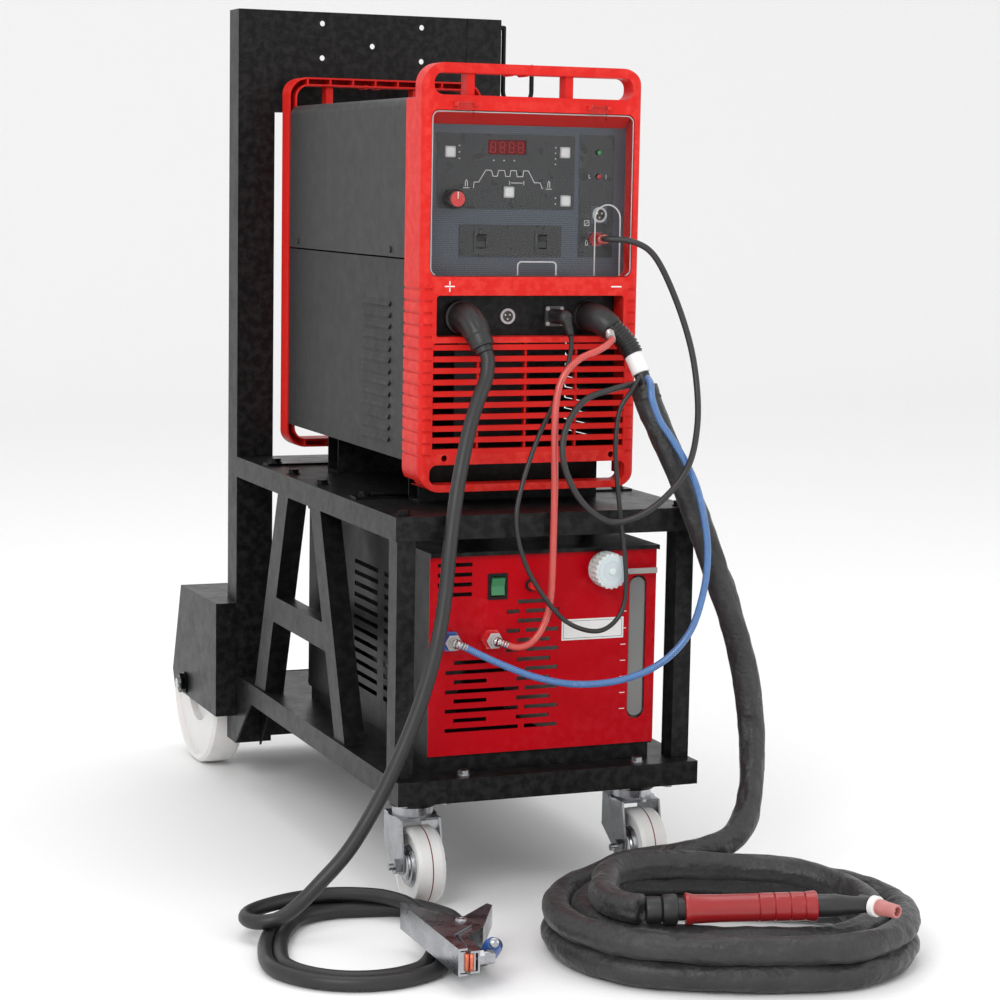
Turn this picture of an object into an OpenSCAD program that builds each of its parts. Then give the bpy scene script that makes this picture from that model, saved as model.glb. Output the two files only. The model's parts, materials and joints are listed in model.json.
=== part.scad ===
/* [Trolley] */
// height of the top of the rear posts
post_top = 1150; // [1140:1:1170]
// sheet thickness of the two trays
tray_t = 3; // [2.5:0.5:3.5]
// width of a rear wheel tread
rear_wheel_w = 50; // [46:1:52]
// thickness of the clamp straps on the upper shelf
strap_t = 3; // [2:0.5:4]

/* [Power source] */
// depth of the ribs moulded in the front frame
rib_depth = 1.6; // [1:0.1:2]
// number of louvres in each lower side panel
louvres = 13; // [8:1:13]

/* [Cooler] */
// height of one vent slot in the cooler front
vent_h = 5; // [3:0.5:6]
// number of vent rows
vent_rows = 14; // [8:2:14]

/* [Hidden] */
$fn = 48;
x_mid = -10;
black = [0.07, 0.07, 0.08];
steel = [0.62, 0.63, 0.65];
zinc = [0.55, 0.57, 0.6];
nylon = [0.9, 0.9, 0.88];
red = [0.85, 0.12, 0.1];
deep_red = [0.7, 0.02, 0.06];
grey = [0.24, 0.24, 0.25];
rubber = [0.09, 0.09, 0.09];
clear = [0.85, 0.9, 0.92, 0.35];
blue = [0.1, 0.35, 0.7];
white = [0.92, 0.92, 0.9];
caster_x = [-156, 150];
caster_y = -430;
axle_y = 387.5;
clip_x = [-105, 76];
buttons = [[-104, 943], [52, 945], [-24, 894], [54, 884]];

// cord routes, trolley coordinates
earth_route = [[-74, -444, 699.5], [-71, -450, 687], [-76, -458, 664], [-90, -468, 638],
  [-106, -480, 602], [-126, -498, 540], [-141, -513, 470], [-152, -525, 400], [-168, -536, 335],
  [-194, -544, 262], [-236, -551, 176], [-280, -556, 108], [-322, -558, 65], [-350, -562, 42],
  [-374, -568, 31]];
torch_route = [[133, -478, 647.5], [139, -488, 623], [150, -500, 588], [183, -514, 510],
  [213, -522, 433], [238, -527, 365], [256, -532, 300], [263, -540, 240], [261, -554, 184],
  [250, -574, 142], [230, -596, 110], [200, -612, 90], [162, -618, 82.5]];
gas_route = [[97, -413, 836], [98, -430, 837], [126, -448, 834], [150, -460, 817],
  [172, -473, 770], [188, -490, 710], [193, -504, 656], [184, -527, 606], [163, -549, 560],
  [134, -551, 523], [98, -543, 496], [62, -530, 489], [28, -520, 516], [9, -511, 560],
  [14, -502, 602], [42, -494, 637], [82, -488, 650], [118, -481, 656]];
switch_route = [[44, -443.6, 715.2], [40, -454, 698], [28, -464, 668], [9, -472, 630],
  [-14, -482, 592], [-38, -494, 540], [-51, -504, 492], [-44, -511, 445], [-22, -516, 402],
  [14, -519, 362], [58, -521, 349], [88, -520, 372], [95, -516, 420], [88, -508, 500],
  [84, -500, 570], [90, -495, 622], [106, -495, 648], [121, -486, 664]];
red_route = [[91.7, -458.9, 715.7], [86, -474, 710], [66, -484, 700], [38, -484, 688], [18, -484, 668],
  [8, -486, 640], [4, -491, 600], [2, -499, 530], [-1, -505, 450], [-4, -507, 390],
  [-14, -508, 356], [-30, -508, 336], [-48, -507, 331], [-66, -504.5, 336.5]];
blue_route = [[132, -486, 664], [130, -501, 657], [128, -510, 640], [137, -515, 613],
  [151, -524, 589], [165, -534, 562], [178, -544, 528], [188, -550, 480], [191, -552, 440],
  [186, -552, 395], [170, -548, 345], [136, -541, 308], [86, -532, 287], [28, -524, 283],
  [-24, -516, 293], [-76, -508, 314], [-121, -504.5, 336.5]];

module at_mid() translate([x_mid, 0, 0]) children();
module box(x0, x1, y0, y1, z0, z1) translate([x0, y0, z0]) cube([x1 - x0, y1 - y0, z1 - z0]);
module bar_x(x0, x1, y, z, d) translate([x0, y, z]) rotate([0, 90, 0]) cylinder(d = d, h = x1 - x0);
module bar_y(x, y0, y1, z, d) translate([x, y1, z]) rotate([90, 0, 0]) cylinder(d = d, h = y1 - y0);
module bar_z(x, y, z0, z1, d) translate([x, y, z0]) cylinder(d = d, h = z1 - z0);
module hex_x(x0, x1, y, z, f) translate([x0, y, z]) rotate([0, 90, 0])
  cylinder(d = f / cos(30), h = x1 - x0, $fn = 6);
module hex_y(x, y0, y1, z, f) translate([x, y1, z]) rotate([90, 0, 0])
  cylinder(d = f / cos(30), h = y1 - y0, $fn = 6);
module hex_z(x, y, z0, z1, f) translate([x, y, z0]) cylinder(d = f / cos(30), h = z1 - z0, $fn = 6);
module in_x(x0, x1) translate([x0, 0, 0]) rotate([90, 0, 90]) linear_extrude(x1 - x0) children();
module in_y(y0, y1) translate([0, y1, 0]) rotate([90, 0, 0]) linear_extrude(y1 - y0) children();
module in_z(z0, z1) translate([0, 0, z0]) linear_extrude(z1 - z0) children();
module rrect(x0, x1, z0, z1, r) {
  translate([x0 + r, z0]) square([x1 - x0 - 2 * r, z1 - z0]);
  translate([x0, z0 + r]) square([x1 - x0, z1 - z0 - 2 * r]);
  for (x = [x0 + r, x1 - r]) for (z = [z0 + r, z1 - r]) translate([x, z]) circle(r = r);
}
module stadium(r, s) {
  translate([-s, -r]) square([2 * s, 2 * r]);
  for (x = [-s, s]) translate([x, 0]) circle(r = r, $fn = 96);
}

function unit(v) = v / norm(v);
function tangent(p, i) = unit(p[min(i + 1, len(p) - 1)] - p[max(i - 1, 0)]);
function carry(p, i, n) = i == len(p) ? [] :
  let (t = tangent(p, i), m = unit(n - (n * t) * t)) concat([[t, m]], carry(p, i + 1, m));
function rings(p, r, s, f) = [for (i = [0:len(p) - 1]) for (k = [0:s - 1])
  p[i] + r * (f[i][1] * cos(360 * k / s) + cross(f[i][0], f[i][1]) * sin(360 * k / s))];
module tube(p, d, n, s = 10) {
  f = carry(p, 0, n);
  last = (len(p) - 1) * s;
  polyhedron(points = rings(p, d / 2, s, f), faces = concat(
    [[for (k = [0:s - 1]) k]], [[for (k = [0:s - 1]) last + s - 1 - k]],
    [for (i = [0:len(p) - 2]) for (k = [0:s - 1])
      [i * s + k, (i + 1) * s + k, i * s + (k + 1) % s]],
    [for (i = [0:len(p) - 2]) for (k = [0:s - 1])
      [i * s + (k + 1) % s, (i + 1) * s + k, (i + 1) * s + (k + 1) % s]]), convexity = 8);
}

// trolley

shelf_bolts = [[-188, -472], [188, -472], [-188, -148], [188, -148], [-188, -18], [188, -18]];
strap_y = [-300, 93];
tray_bolts = [[-112, -494], [127, -494]];
module upper_shelf() color(black) at_mid() difference() {
  union() {
    box(-205, 205, -492.5, 210, 497.5 - tray_t, 497.5);
    box(-205, 205, -492.5, -489.5, 467.5, 496);
    box(-205, 205, 207, 210, 467.5, 496);
    for (x = [-205, 202]) box(x, x + 3, -492.5, 210, 467.5, 496);
  }
  for (b = shelf_bolts) bar_z(b[0], b[1], 480, 500, 8.6);
  for (y = strap_y) for (x = [-180, 180]) bar_z(x, y, 480, 500, 8.6);
}

module lower_tray() color(black) at_mid() difference() {
  union() {
    box(-205, 205, -512.5, 210, 170 - tray_t, 170);
    box(-205, 205, -512.5, -509.5, 140, 169);
    box(-205, 205, 207, 210, 140, 169);
    for (x = [-205, 202]) box(x, x + 3, -512.5, 210, 140, 169);
    box(-203, 203, -510, -360, 140, 144);
  }
  for (b = tray_bolts) bar_z(b[0], b[1], 160, 175, 8.6);
  for (c = caster_x) for (x = [-30, 30]) for (y = [-45, 45])
    bar_z(c + x, caster_y + y, 135, 150, 8.6);
}

module rear_posts() color(black) at_mid() for (s = [-1, 1]) scale([s, 1, 1]) {
  box(150, 205, 210.3, 213.3, 65, post_top);
  box(150, 153, 210.3, 257.5, 65, post_top);
  difference() {
    box(202, 205, 210.3, 257.5, 65, post_top);
    for (z = [120, 153]) bar_x(195, 210, 222, z, 8.6);
  }
}

module back_plate() color(black) at_mid() difference() {
  union() {
    box(-149.7, 149.7, 211, 213.5, 1003, post_top);
    for (x = [-149.7, 147.2]) box(x, x + 2.5, 211, 236, 1003, post_top);
    for (z = [1003, post_top - 2.5]) box(-149.7, 149.7, 211, 236, z, z + 2.5);
  }
  for (x = [-77.5, 77.5]) for (z = [1083.5, 1133.5]) bar_y(x, 205, 220, z, 8);
  bar_y(0, 205, 220, 1103, 8);
}

module cable_hook() color(black) at_mid() {
  bar_x(205, 219.5, 236, 1140, 7);
  translate([219.5, 236, 1140]) sphere(d = 7);
  bar_z(219.5, 236, 1046, 1140, 7);
  translate([243, 236, 1046]) rotate([-90, 0, 0]) rotate_extrude(angle = 180)
    translate([23.5, 0]) circle(d = 7);
  bar_z(266.5, 236, 1046, 1083, 7);
  translate([266.5, 236, 1083]) sphere(d = 7);
}

module side_frames() color(black) at_mid() for (s = [-1, 1]) scale([s, 1, 1]) difference() {
  union() {
    in_x(198.5, 201.5) {
      polygon([[-44, 492], [4, 492], [122.5, 170], [71.5, 170]]);
      polygon([[-170.6, 492], [-126.5, 492], [-250.2, 170], [-292.7, 170]]);
      polygon([[-235, 280], [60, 280], [60, 317], [-225, 317]]);
    }
    in_x(173, 199) {
      polygon([[-44, 492], [-41, 492], [74.5, 170], [71.5, 170]]);
      polygon([[-170.6, 492], [-167.6, 492], [-289.7, 170], [-292.7, 170]]);
    }
    box(180, 199, -210, 18, 314, 317);
    for (y = [[-44, 6], [-171, -124]]) box(173, 201.5, y[0], y[1], 491.5, 497.5 - tray_t);
    for (y = [[72, 124], [-292, -248]]) box(173, 201.5, y[0], y[1], 170, 173);
  }
  for (b = shelf_bolts) if (b[0] > 0) bar_z(b[0], b[1], 480, 500, 8.6);
}

module front_posts() color(black) at_mid() for (s = [-1, 1]) scale([s, 1, 1]) difference() {
  box(178, 202, -489.5, -459.5, 170, 497.5 - tray_t);
  box(180, 200, -487.5, -461.5, 173, 491.5);
  bar_z(188, -472, 480, 500, 8.6);
}

module rear_base() color(black) at_mid() {
  box(-149.7, 149.7, 216, 219, 72, 170);
  for (s = [-1, 1]) scale([s, 1, 1]) {
    in_x(202, 205) polygon([[134, 139.7], [210, 139.7], [210, 66]]);
    in_x(165, 168) polygon([[150, 139.7], [210, 139.7], [210, 60]]);
    difference() {
      box(146.7, 149.7, 219, 440, 75, 130);
      bar_x(140, 160, axle_y, 125, 20.1);
    }
  }
  difference() {
    box(-149.7, 149.7, 219, 440, 72, 75);
    for (x = [-60, 60]) for (y = [290, 380]) bar_z(x, y, 60, 80, 9);
  }
  difference() {
    for (x = [-146.7, 138.7]) box(x, x + 8, 367.5, 407.5, 105, 145);
    bar_x(-160, 160, axle_y, 125, 20.1);
  }
}

module wheel_guards() color(black) at_mid() for (s = [-1, 1]) scale([s, 1, 1]) difference() {
  union() {
    in_x(233.5, 236) polygon([[210.5, 278], [414.5, 275], [463.5, 134], [450, 107], [210.5, 107]]);
    box(205.3, 236, 210.5, 213, 107, 278);
    box(205.3, 207.8, 210.5, 240, 107, 278);
    in_x(205.3, 236) polygon([[210.5, 278], [414.5, 275], [414.5, 272.5], [210.5, 275.5]]);
    in_x(162, 206) polygon([[258.5, 277.3], [414.5, 275], [414.5, 272.5], [258.5, 274.8]]);
  }
  bar_x(230, 240, axle_y, 125, 20.1);
  for (z = [120, 153]) bar_x(200, 215, 222, z, 8.6);
}

module rear_axle() color(steel) at_mid() {
  bar_x(-240, 240, axle_y, 125, 20);
  for (s = [-1, 1]) scale([s, 1, 1]) {
    difference() {
      union() {
        bar_x(236, 238.5, axle_y, 125, 34);
        hex_x(238.5, 246, axle_y, 125, 26);
      }
      bar_x(230, 239, axle_y, 125, 19.9);
    }
    bar_x(240, 250, axle_y, 125, 16);
    difference() {
      bar_x(225, 233.3, axle_y, 125, 28);
      bar_x(224, 234, axle_y, 125, 19.9);
    }
    difference() {
      bar_x(150.2, 170, axle_y, 125, 28);
      bar_x(140, 171, axle_y, 125, 19.9);
    }
  }
}

module rear_wheel(s) color(nylon) at_mid() scale([s, 1, 1]) translate([197.5, axle_y, 125])
  rotate([0, 90, 0]) difference() {
    union() {
      rotate_extrude($fn = 96) polygon([[60, -18], [110, -18], [112, -rear_wheel_w / 2],
        [119, -rear_wheel_w / 2], [124, -rear_wheel_w / 2 + 5], [125, 0],
        [124, rear_wheel_w / 2 - 5], [119, rear_wheel_w / 2], [112, rear_wheel_w / 2], [110, 18],
        [60, 18]]);
      cylinder(r = 62, h = 16, center = true, $fn = 96);
      cylinder(r = 27, h = rear_wheel_w, center = true);
    }
    cylinder(d = 20.1, h = 60, center = true);
  }
module rear_wheel_left() rear_wheel(-1);
module rear_wheel_right() rear_wheel(1);

module caster_plates() color(zinc) at_mid() for (c = caster_x) translate([c, caster_y, 0]) {
  difference() {
    box(-42, 42, -57, 57, 136.5, 140);
    for (x = [-30, 30]) for (y = [-45, 45]) bar_z(x, y, 130, 150, 8.6);
  }
  bar_z(0, 0, 122, 136.5, 60);
  bar_z(0, 0, 106, 122, 11.9);
  bar_z(0, 0, 100.8, 106, 18);
}

module caster_fork(i) color(zinc) at_mid() translate([caster_x[i], caster_y, 0]) {
  difference() {
    union() {
      bar_z(0, 0, 106.6, 110, 62);
      bar_z(0, 0, 109.9, 121.4, 52);
      box(-27, 27, -30, 30, 106.6, 109.6);
    }
    bar_z(0, 0, 100, 125, 12);
  }
  difference() {
    for (x = [-27, 24.5]) in_x(x, x + 2.5)
      polygon([[-31, 109], [31, 109], [32, 66], [-4, 44], [-30, 38], [-42, 46], [-42, 62]]);
    bar_x(-30, 30, -30, 50, 9.9);
  }
  bar_x(-33, 33, -30, 50, 10);
  hex_x(-35, -27, -30, 50, 17);
  hex_x(27, 33.5, -30, 50, 17);
  bar_x(-42, -35, -30, 50, 9);
}
module caster_fork_left() caster_fork(0);
module caster_fork_right() caster_fork(1);

module caster_wheel(i) color(nylon) at_mid() translate([caster_x[i], caster_y - 30, 50])
  rotate([0, 90, 0]) difference() {
    union() {
      rotate_extrude($fn = 96) polygon([[14, -14], [40, -14], [42, -18], [47, -18], [49.6, -13],
        [50, 0], [49.6, 13], [47, 18], [42, 18], [40, 14], [14, 14]]);
      cylinder(r = 15, h = 44, center = true);
    }
    cylinder(d = 10.1, h = 60, center = true);
  }
module caster_wheel_left() caster_wheel(0);
module caster_wheel_right() caster_wheel(1);

module bolt(x, y, z, grip) {
  hex_z(x, y, z + 1.6, z + 6.6, 13);
  bar_z(x, y, z, z + 1.6, 17);
  bar_z(x, y, z - grip - 9, z + 2, 8);
  hex_z(x, y, z - grip - 6.5, z - grip, 13);
}
module frame_bolts() color(zinc) at_mid() {
  for (b = shelf_bolts) bolt(b[0], b[1], 497.5, tray_t + 3);
  for (y = strap_y) {
    for (x = [-180, 180]) bolt(x, y, 497.5 + strap_t, tray_t + strap_t);
    difference() {
      box(-196, 196, y - 12.5, y + 12.5, 497.5, 497.5 + strap_t);
      for (x = [-180, 180]) bar_z(x, y, 490, 510, 8);
    }
  }
  for (b = tray_bolts) bolt(b[0], b[1], 170, tray_t);
  for (c = caster_x) for (x = [-30, 30]) for (y = [-45, 45]) {
    hex_z(c + x, caster_y + y, 130, 135, 13);
    bar_z(c + x, caster_y + y, 135, 136.5, 15);
    bar_z(c + x, caster_y + y, 132, 150, 8);
    hex_z(c + x, caster_y + y, 144, 149, 13);
  }
  for (s = [-1, 1]) scale([s, 1, 1]) for (z = [120, 153]) {
    bar_x(198, 212, 222, z, 8);
    hex_x(207.8, 212, 222, z, 13);
    hex_x(197, 202, 222, z, 13);
  }
}

// power source

module rib_cut(z) difference() {
  box(-150, 150, -419, -354, z, z + 3);
  box(-149 + rib_depth, 149 - rib_depth, -418 + rib_depth, -353, z - 1, z + 4);
  box(-134, 134, -420, -350, z - 1, z + 4);
}
module front_frame() color(red) at_mid() {
  difference() {
    intersection() {
      in_y(-418, -355) rrect(-149, 149, 517, 1052, 28);
      in_z(510, 1060) rrect(-149, 149, -418, -300, 9);
    }
    in_y(-420, -350) rrect(-135, 135, 1012.6, 1039.7, 12);
    box(-150, 150, -388, -354, 1009, 1053);
    box(-145, 145, -414, -354, 555, 1005);
    box(-145, 145, -388, -354, 522, 551.5);
    in_y(-420, -380) rrect(-135, 135, 526, 551.5, 10);
    in_y(-420, -410) rrect(-138, 138, 788, 994, 10);
    in_y(-420, -410) rrect(-128, 128, 712.5, 764.5, 4);
    in_y(-420, -410) rrect(-131.7, 131.7, 566, 705, 4);
    for (x = [-115, 115]) bar_y(x, -420, -410, 560, 8);
    for (i = [0:14]) rib_cut(562 + 14.9 * i);
  }
  in_y(-414.2, -392) difference() {
    rrect(-141, 141, 785, 997, 12);
    rrect(-138, 138, 788, 994, 10);
  }
  in_y(-414.2, -388) difference() {
    rrect(-131, 131, 709.5, 767.5, 5);
    rrect(-128, 128, 712.5, 764.5, 4);
  }
  for (x = [-91, 42.5]) box(x, x + 10.5, -414, -394, 1012, 1040.2);
  for (x = [-31, -11]) bar_y(x, -416, -390, 1040.5, 6);
  for (i = [0:9]) box(-132, 132, -417, -409, 564.5 + 14.6 * i, 571.5 + 14.6 * i);
  for (x = [-70.5, -5.5, 64.5]) box(x, x + 3, -412, -405, 565, 706);
  for (c = clip_x) for (x = [c - 5.4, c + 21]) difference() {
    union() {
      bar_x(x, x + 4.6, -421.5, 1001, 6);
      box(x, x + 4.6, -421.5, -417.9, 998, 1004);
    }
    bar_x(x - 1, x + 6, -421.5, 1001, 2.6);
  }
}

module rear_frame() color(red) at_mid() {
  difference() {
    intersection() {
      in_y(143, 183) difference() {
        rrect(-149, 149, 517, 1052, 28);
        rrect(-137, 137, 529, 1040, 18);
      }
      in_z(510, 1060) rrect(-149, 149, 100, 183, 9);
    }
    difference() {
      in_y(142, 175) difference() {
        rrect(-146.5, 146.5, 519.5, 1049.5, 25.5);
        rrect(-139.5, 139.5, 526.5, 1042.5, 20.5);
      }
      for (z = [560:40:1000]) box(-150, 150, 140, 180, z, z + 2.5);
      for (x = [-122:34.4:120]) box(x, x + 2.5, 140, 180, 510, 1060);
    }
  }
  for (x = [-91, 42.5]) box(x, x + 10.5, 150, 170, 1010, 1041);
  for (x = [-30, -10]) bar_y(x, 146, 178, 1040.5, 6);
}

module sheet_u(r) difference() {
  rrect(-147, 147, 780, 1011, r);
  rrect(-145.5, 145.5, 770, 1009.5, r - 1.5);
  translate([-150, 700]) square([300, 109]);
}
module top_cover() color(grey) at_mid() {
  difference() {
    in_y(-355, 143) sheet_u(13);
    for (x = [-150, 140]) for (y = [-296, 100]) bar_x(x, x + 10, y, 818, 5);
  }
  for (s = [-1, 1]) scale([s, 1, 1]) for (y = [-296, 100]) {
    bar_x(147, 149.4, y, 818, 8.5);
    bar_x(138, 147.2, y, 818, 5);
  }
}

module side_panels() color(grey) at_mid() for (s = [-1, 1]) scale([s, 1, 1]) {
  difference() {
    box(145.5, 147, -355, 143, 552, 807);
    for (i = [0:louvres - 1]) box(144, 148, -300, -190, 570 + 14.6 * i, 576 + 14.6 * i);
  }
  for (i = [0:louvres - 1]) in_y(-300, -190)
    translate([0, 14.6 * i]) polygon([[146, 576], [146, 577.5], [147, 577.5], [150.4, 571.5],
      [150.4, 570.5], [149.4, 570.5]]);
}

module base_pan() color(black) at_mid() {
  box(-145, 145, -354.5, 142.5, 552.3, 554.3);
  for (x = [-145, 143.5]) box(x, x + 1.5, -354.5, 142.5, 554, 565);
  for (y = [[-352, -314], [-24, 22]]) difference() {
    box(-125, 125, y[0], y[1], 497.5, 552.3);
    box(-126, 126, y[0] + 2, y[1] - 2, 499.5, 553);
  }
}

module rear_panel() color(grey) at_mid() {
  difference() {
    box(-136.8, 136.8, 158.2, 160.2, 552, 1009);
    bar_y(0, 150, 170, 700, 150);
    bar_y(90, 150, 170, 600, 24);
  }
  in_y(160.2, 162.6) intersection() {
    for (d = [28, 60, 92, 124, 156]) translate([0, 700]) difference() {
      circle(d = d);
      circle(d = d - 5);
    }
    translate([0, 700]) circle(d = 156);
  }
  in_y(160.2, 162.6) for (a = [0, 90]) translate([0, 700]) rotate(a) square([156, 4], center = true);
  bar_y(90, 160.2, 176, 600, 30);
  difference() {
    bar_y(0, 124.2, 158.3, 700, 164);
    bar_y(0, 120, 165, 700, 156);
  }
  in_y(124.2, 127.2) for (a = [45, 135]) translate([0, 700]) rotate(a) square([158, 8], center = true);
  bar_y(0, 112, 127.2, 700, 52);
  bar_y(0, 127, 150, 700, 7.9);
}

module control_panel() color([0.27, 0.31, 0.36]) at_mid() difference() {
  union() {
    in_y(-392, -389.5) rrect(-140.5, 140.5, 786, 996, 4);
    in_y(-392.8, -391.9) {
      rrect(-121, 67, 872, 967, 2);
      rrect(73, 122, 812, 969, 2);
      rrect(-90, 50.5, 812, 853, 2);
    }
  }
  in_y(-394, -388) rrect(-53, -1, 941, 959, 1);
  for (b = buttons) in_y(-394, -388) rrect(b[0] - 7.3, b[0] + 7.3, b[1] - 7.3, b[1] + 7.3, 1);
  bar_y(-100, -394, -388, 884.5, 8.4);
  for (x = [-60.5, 23]) in_y(-394, -388) rrect(x - 8.5, x + 8.5, 820, 844, 1);
  for (z = [946, 915.5]) bar_y(99.5, -394, -388, z, 8.4);
  bar_y(102, -394, -388, 867, 16.4);
  bar_y(97, -394, -388, 836, 12.4);
}

module connector_panel() color(black) at_mid() difference() {
  box(-134, 134, -388, -386, 706.5, 770.5);
  for (x = [-86, 90]) bar_y(x, -390, -380, 736, 30.4);
  for (x = [-21, 44]) bar_y(x, -390, -380, 737, 16.4);
}

module display() color([0.25, 0.02, 0.02]) at_mid() {
  in_y(-392.6, -384) rrect(-52.7, -1.3, 941.3, 958.7, 0.8);
  box(-60, 6, -384, -382.4, 936, 964);
}

module button_at(b) color(white) at_mid() {
  in_y(-395, -386) rrect(b[0] - 6.8, b[0] + 6.8, b[1] - 6.8, b[1] + 6.8, 1.4);
  in_y(-386, -385) rrect(b[0] - 8.6, b[0] + 8.6, b[1] - 8.6, b[1] + 8.6, 1);
}
module button_program() button_at(buttons[0]);
module button_mode() button_at(buttons[1]);
module button_menu() button_at(buttons[2]);
module button_wave() button_at(buttons[3]);

module encoder_knob() color(black) at_mid() {
  bar_y(-100, -411.5, -393.4, 884.5, 25);
  bar_y(-100, -413, -411.4, 884.5, 19);
  bar_y(-100, -394, -380, 884.5, 6);
}

module rocker(x, y, z, w, h, t) at_mid() translate([x, y, z]) rotate([90, 0, 90])
  translate([0, 0, -w / 2]) linear_extrude(w)
    polygon([[0, -h / 2], [-t, -h / 2 + 0.8], [-t + 1.6, 0], [-t - 2.2, h / 2 - 1.2], [0, h / 2]]);
module rocker_foot() color(black) rocker(-60.5, -392.4, 832, 11, 17, 1.8);
module rocker_water() color(black) rocker(23, -392.4, 832, 11, 17, 1.8);

module bezel_y(x, y, z, w, h, wi, hi, d) translate([x, 0, z]) {
  in_y(y - 1.6, y) difference() {
    rrect(-w / 2, w / 2, -h / 2, h / 2, 1.5);
    square([wi, hi], center = true);
  }
  in_y(y, y + d) difference() {
    square([wi + 4, hi + 4], center = true);
    square([wi, hi], center = true);
  }
}
module panel_lamps() color([0.1, 0.5, 0.15]) at_mid() {
  for (z = [946, 915.5]) {
    bar_y(99.5, -394, -384, z, 8);
    translate([99.5, -394, z]) sphere(d = 8);
  }
  for (x = [-60.5, 23]) {
    bezel_y(x, -392.8, 832, 20, 27, 11.8, 18.6, 12.8);
    box(x - 7.9, x + 7.9, -380, -378, 820.5, 843.5);
  }
}

module round_socket(x, z, y) {
  difference() {
    bar_y(x, y - 3, y, z, 20);
    bar_y(x, y - 4, y - 1.6, z, 14);
  }
  bar_y(x, y - 0.1, y + 16, z, 15.8);
  for (a = [30, 150, 270]) bar_y(x + 3.6 * cos(a), y - 2.6, y - 1.5, z + 3.6 * sin(a), 2);
}
module panel_sockets() color(steel) at_mid() {
  round_socket(102, 867, -392.8);
  round_socket(-21, 737, -388);
  difference() {
    union() {
      in_y(-390.4, -388) rrect(31, 57, 724, 750, 2);
      bar_y(44, -393, -372, 737, 15.8);
    }
    bar_y(44, -395, -380, 737, 12);
  }
  for (x = [34.4, 53.6]) for (z = [727.4, 746.6]) bar_y(x, -391.6, -390.3, z, 5);
  difference() {
    union() {
      hex_y(97, -398, -392.8, 836, 17);
      bar_y(97, -412, -397.9, 836, 12);
      bar_y(97, -393, -376, 836, 12);
    }
    bar_y(97, -413, -370, 836, 6);
  }
  for (x = [-86, 90]) difference() {
    union() {
      bar_y(x, -392, -388, 736, 42);
      bar_y(x, -390, -350, 736, 30);
    }
    bar_y(x, -393, -354, 736, 13.2);
  }
}

module clear_cover() color(clear) at_mid() {
  difference() {
    in_y(-417.5, -415) rrect(-136.8, 136.8, 789.2, 992.8, 9);
    box(86, 121, -420, -410, 780, 863);
    bar_y(103.5, -420, -410, 862.5, 35);
    in_y(-420, -410) rrect(-19.6, 33, 780, 807, 5);
  }
  for (c = clip_x) {
    box(c, c + 20.8, -421, -415, 985, 992.6);
    box(c, c + 20.8, -422.5, -419, 990, 1001);
    bar_x(c, c + 20.8, -421.5, 1001, 6);
    bar_x(c - 4.5, c + 25, -421.5, 1001, 2.5);
  }
}

module fan_rotor() color(black) at_mid() translate([0, 152, 700]) rotate([90, 0, 0]) difference() {
  union() {
    cylinder(d = 48, h = 20);
    for (i = [0:6]) rotate([0, 0, i * 360 / 7]) translate([0, 0, 10]) rotate([34, 0, 0])
      translate([20, -1.5, -14]) cube([52, 3, 24]);
  }
  translate([0, 0, -1]) cylinder(d = 8, h = 30);
}

module power_module() color(steel) at_mid() {
  box(-110, -95, -250, 60, 556, 800);
  for (i = [0:15]) box(-95, -60, -250, 60, 564 + 15 * i, 567 + 15 * i);
  box(-20, 90, -200, -90, 556, 680);
  box(-10, 80, -190, -100, 680, 720);
  for (y = [-40, 20]) bar_z(40, y, 556, 660, 50);
  box(-110, 110, -360, -340, 790, 792.5);
  box(-125, 120, -350, 80, 850, 852);
  for (x = [-100, 0, 90]) box(x, x + 14, -200, -120, 852, 880);
}

// cooler

module cooler_case() color(black) at_mid() {
  for (x = [-149, 121]) box(x, x + 32, -468, 14, 170, 173);
  for (x = [-149, 151]) box(x, x + 2, -468, 14, 170, 191);
  box(-149, 153, -470, -468, 170, 189);
  box(-151.3, 155.3, -472, 15.8, 189, 191);
  for (x = [-153, 155.5]) difference() {
    box(x, x + 1.5, -472.4, 15.8, 189, 447);
    for (y = [-400, -280]) for (i = [0:11])
      box(x - 1, x + 3, y, y + 95, 230 + 15 * i, 236 + 15 * i);
  }
  difference() {
    box(-154.5, 158.5, -481, 21, 447, 449);
    box(-170, 170, -480, -479, 440, 446);
  }
  for (y = [-481, 19.5]) box(-154.5, 158.5, y, y + 1.5, 444, 448);
  for (x = [-154.5, 157]) box(x, x + 1.5, -481, 21, 443, 448);
}

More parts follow.
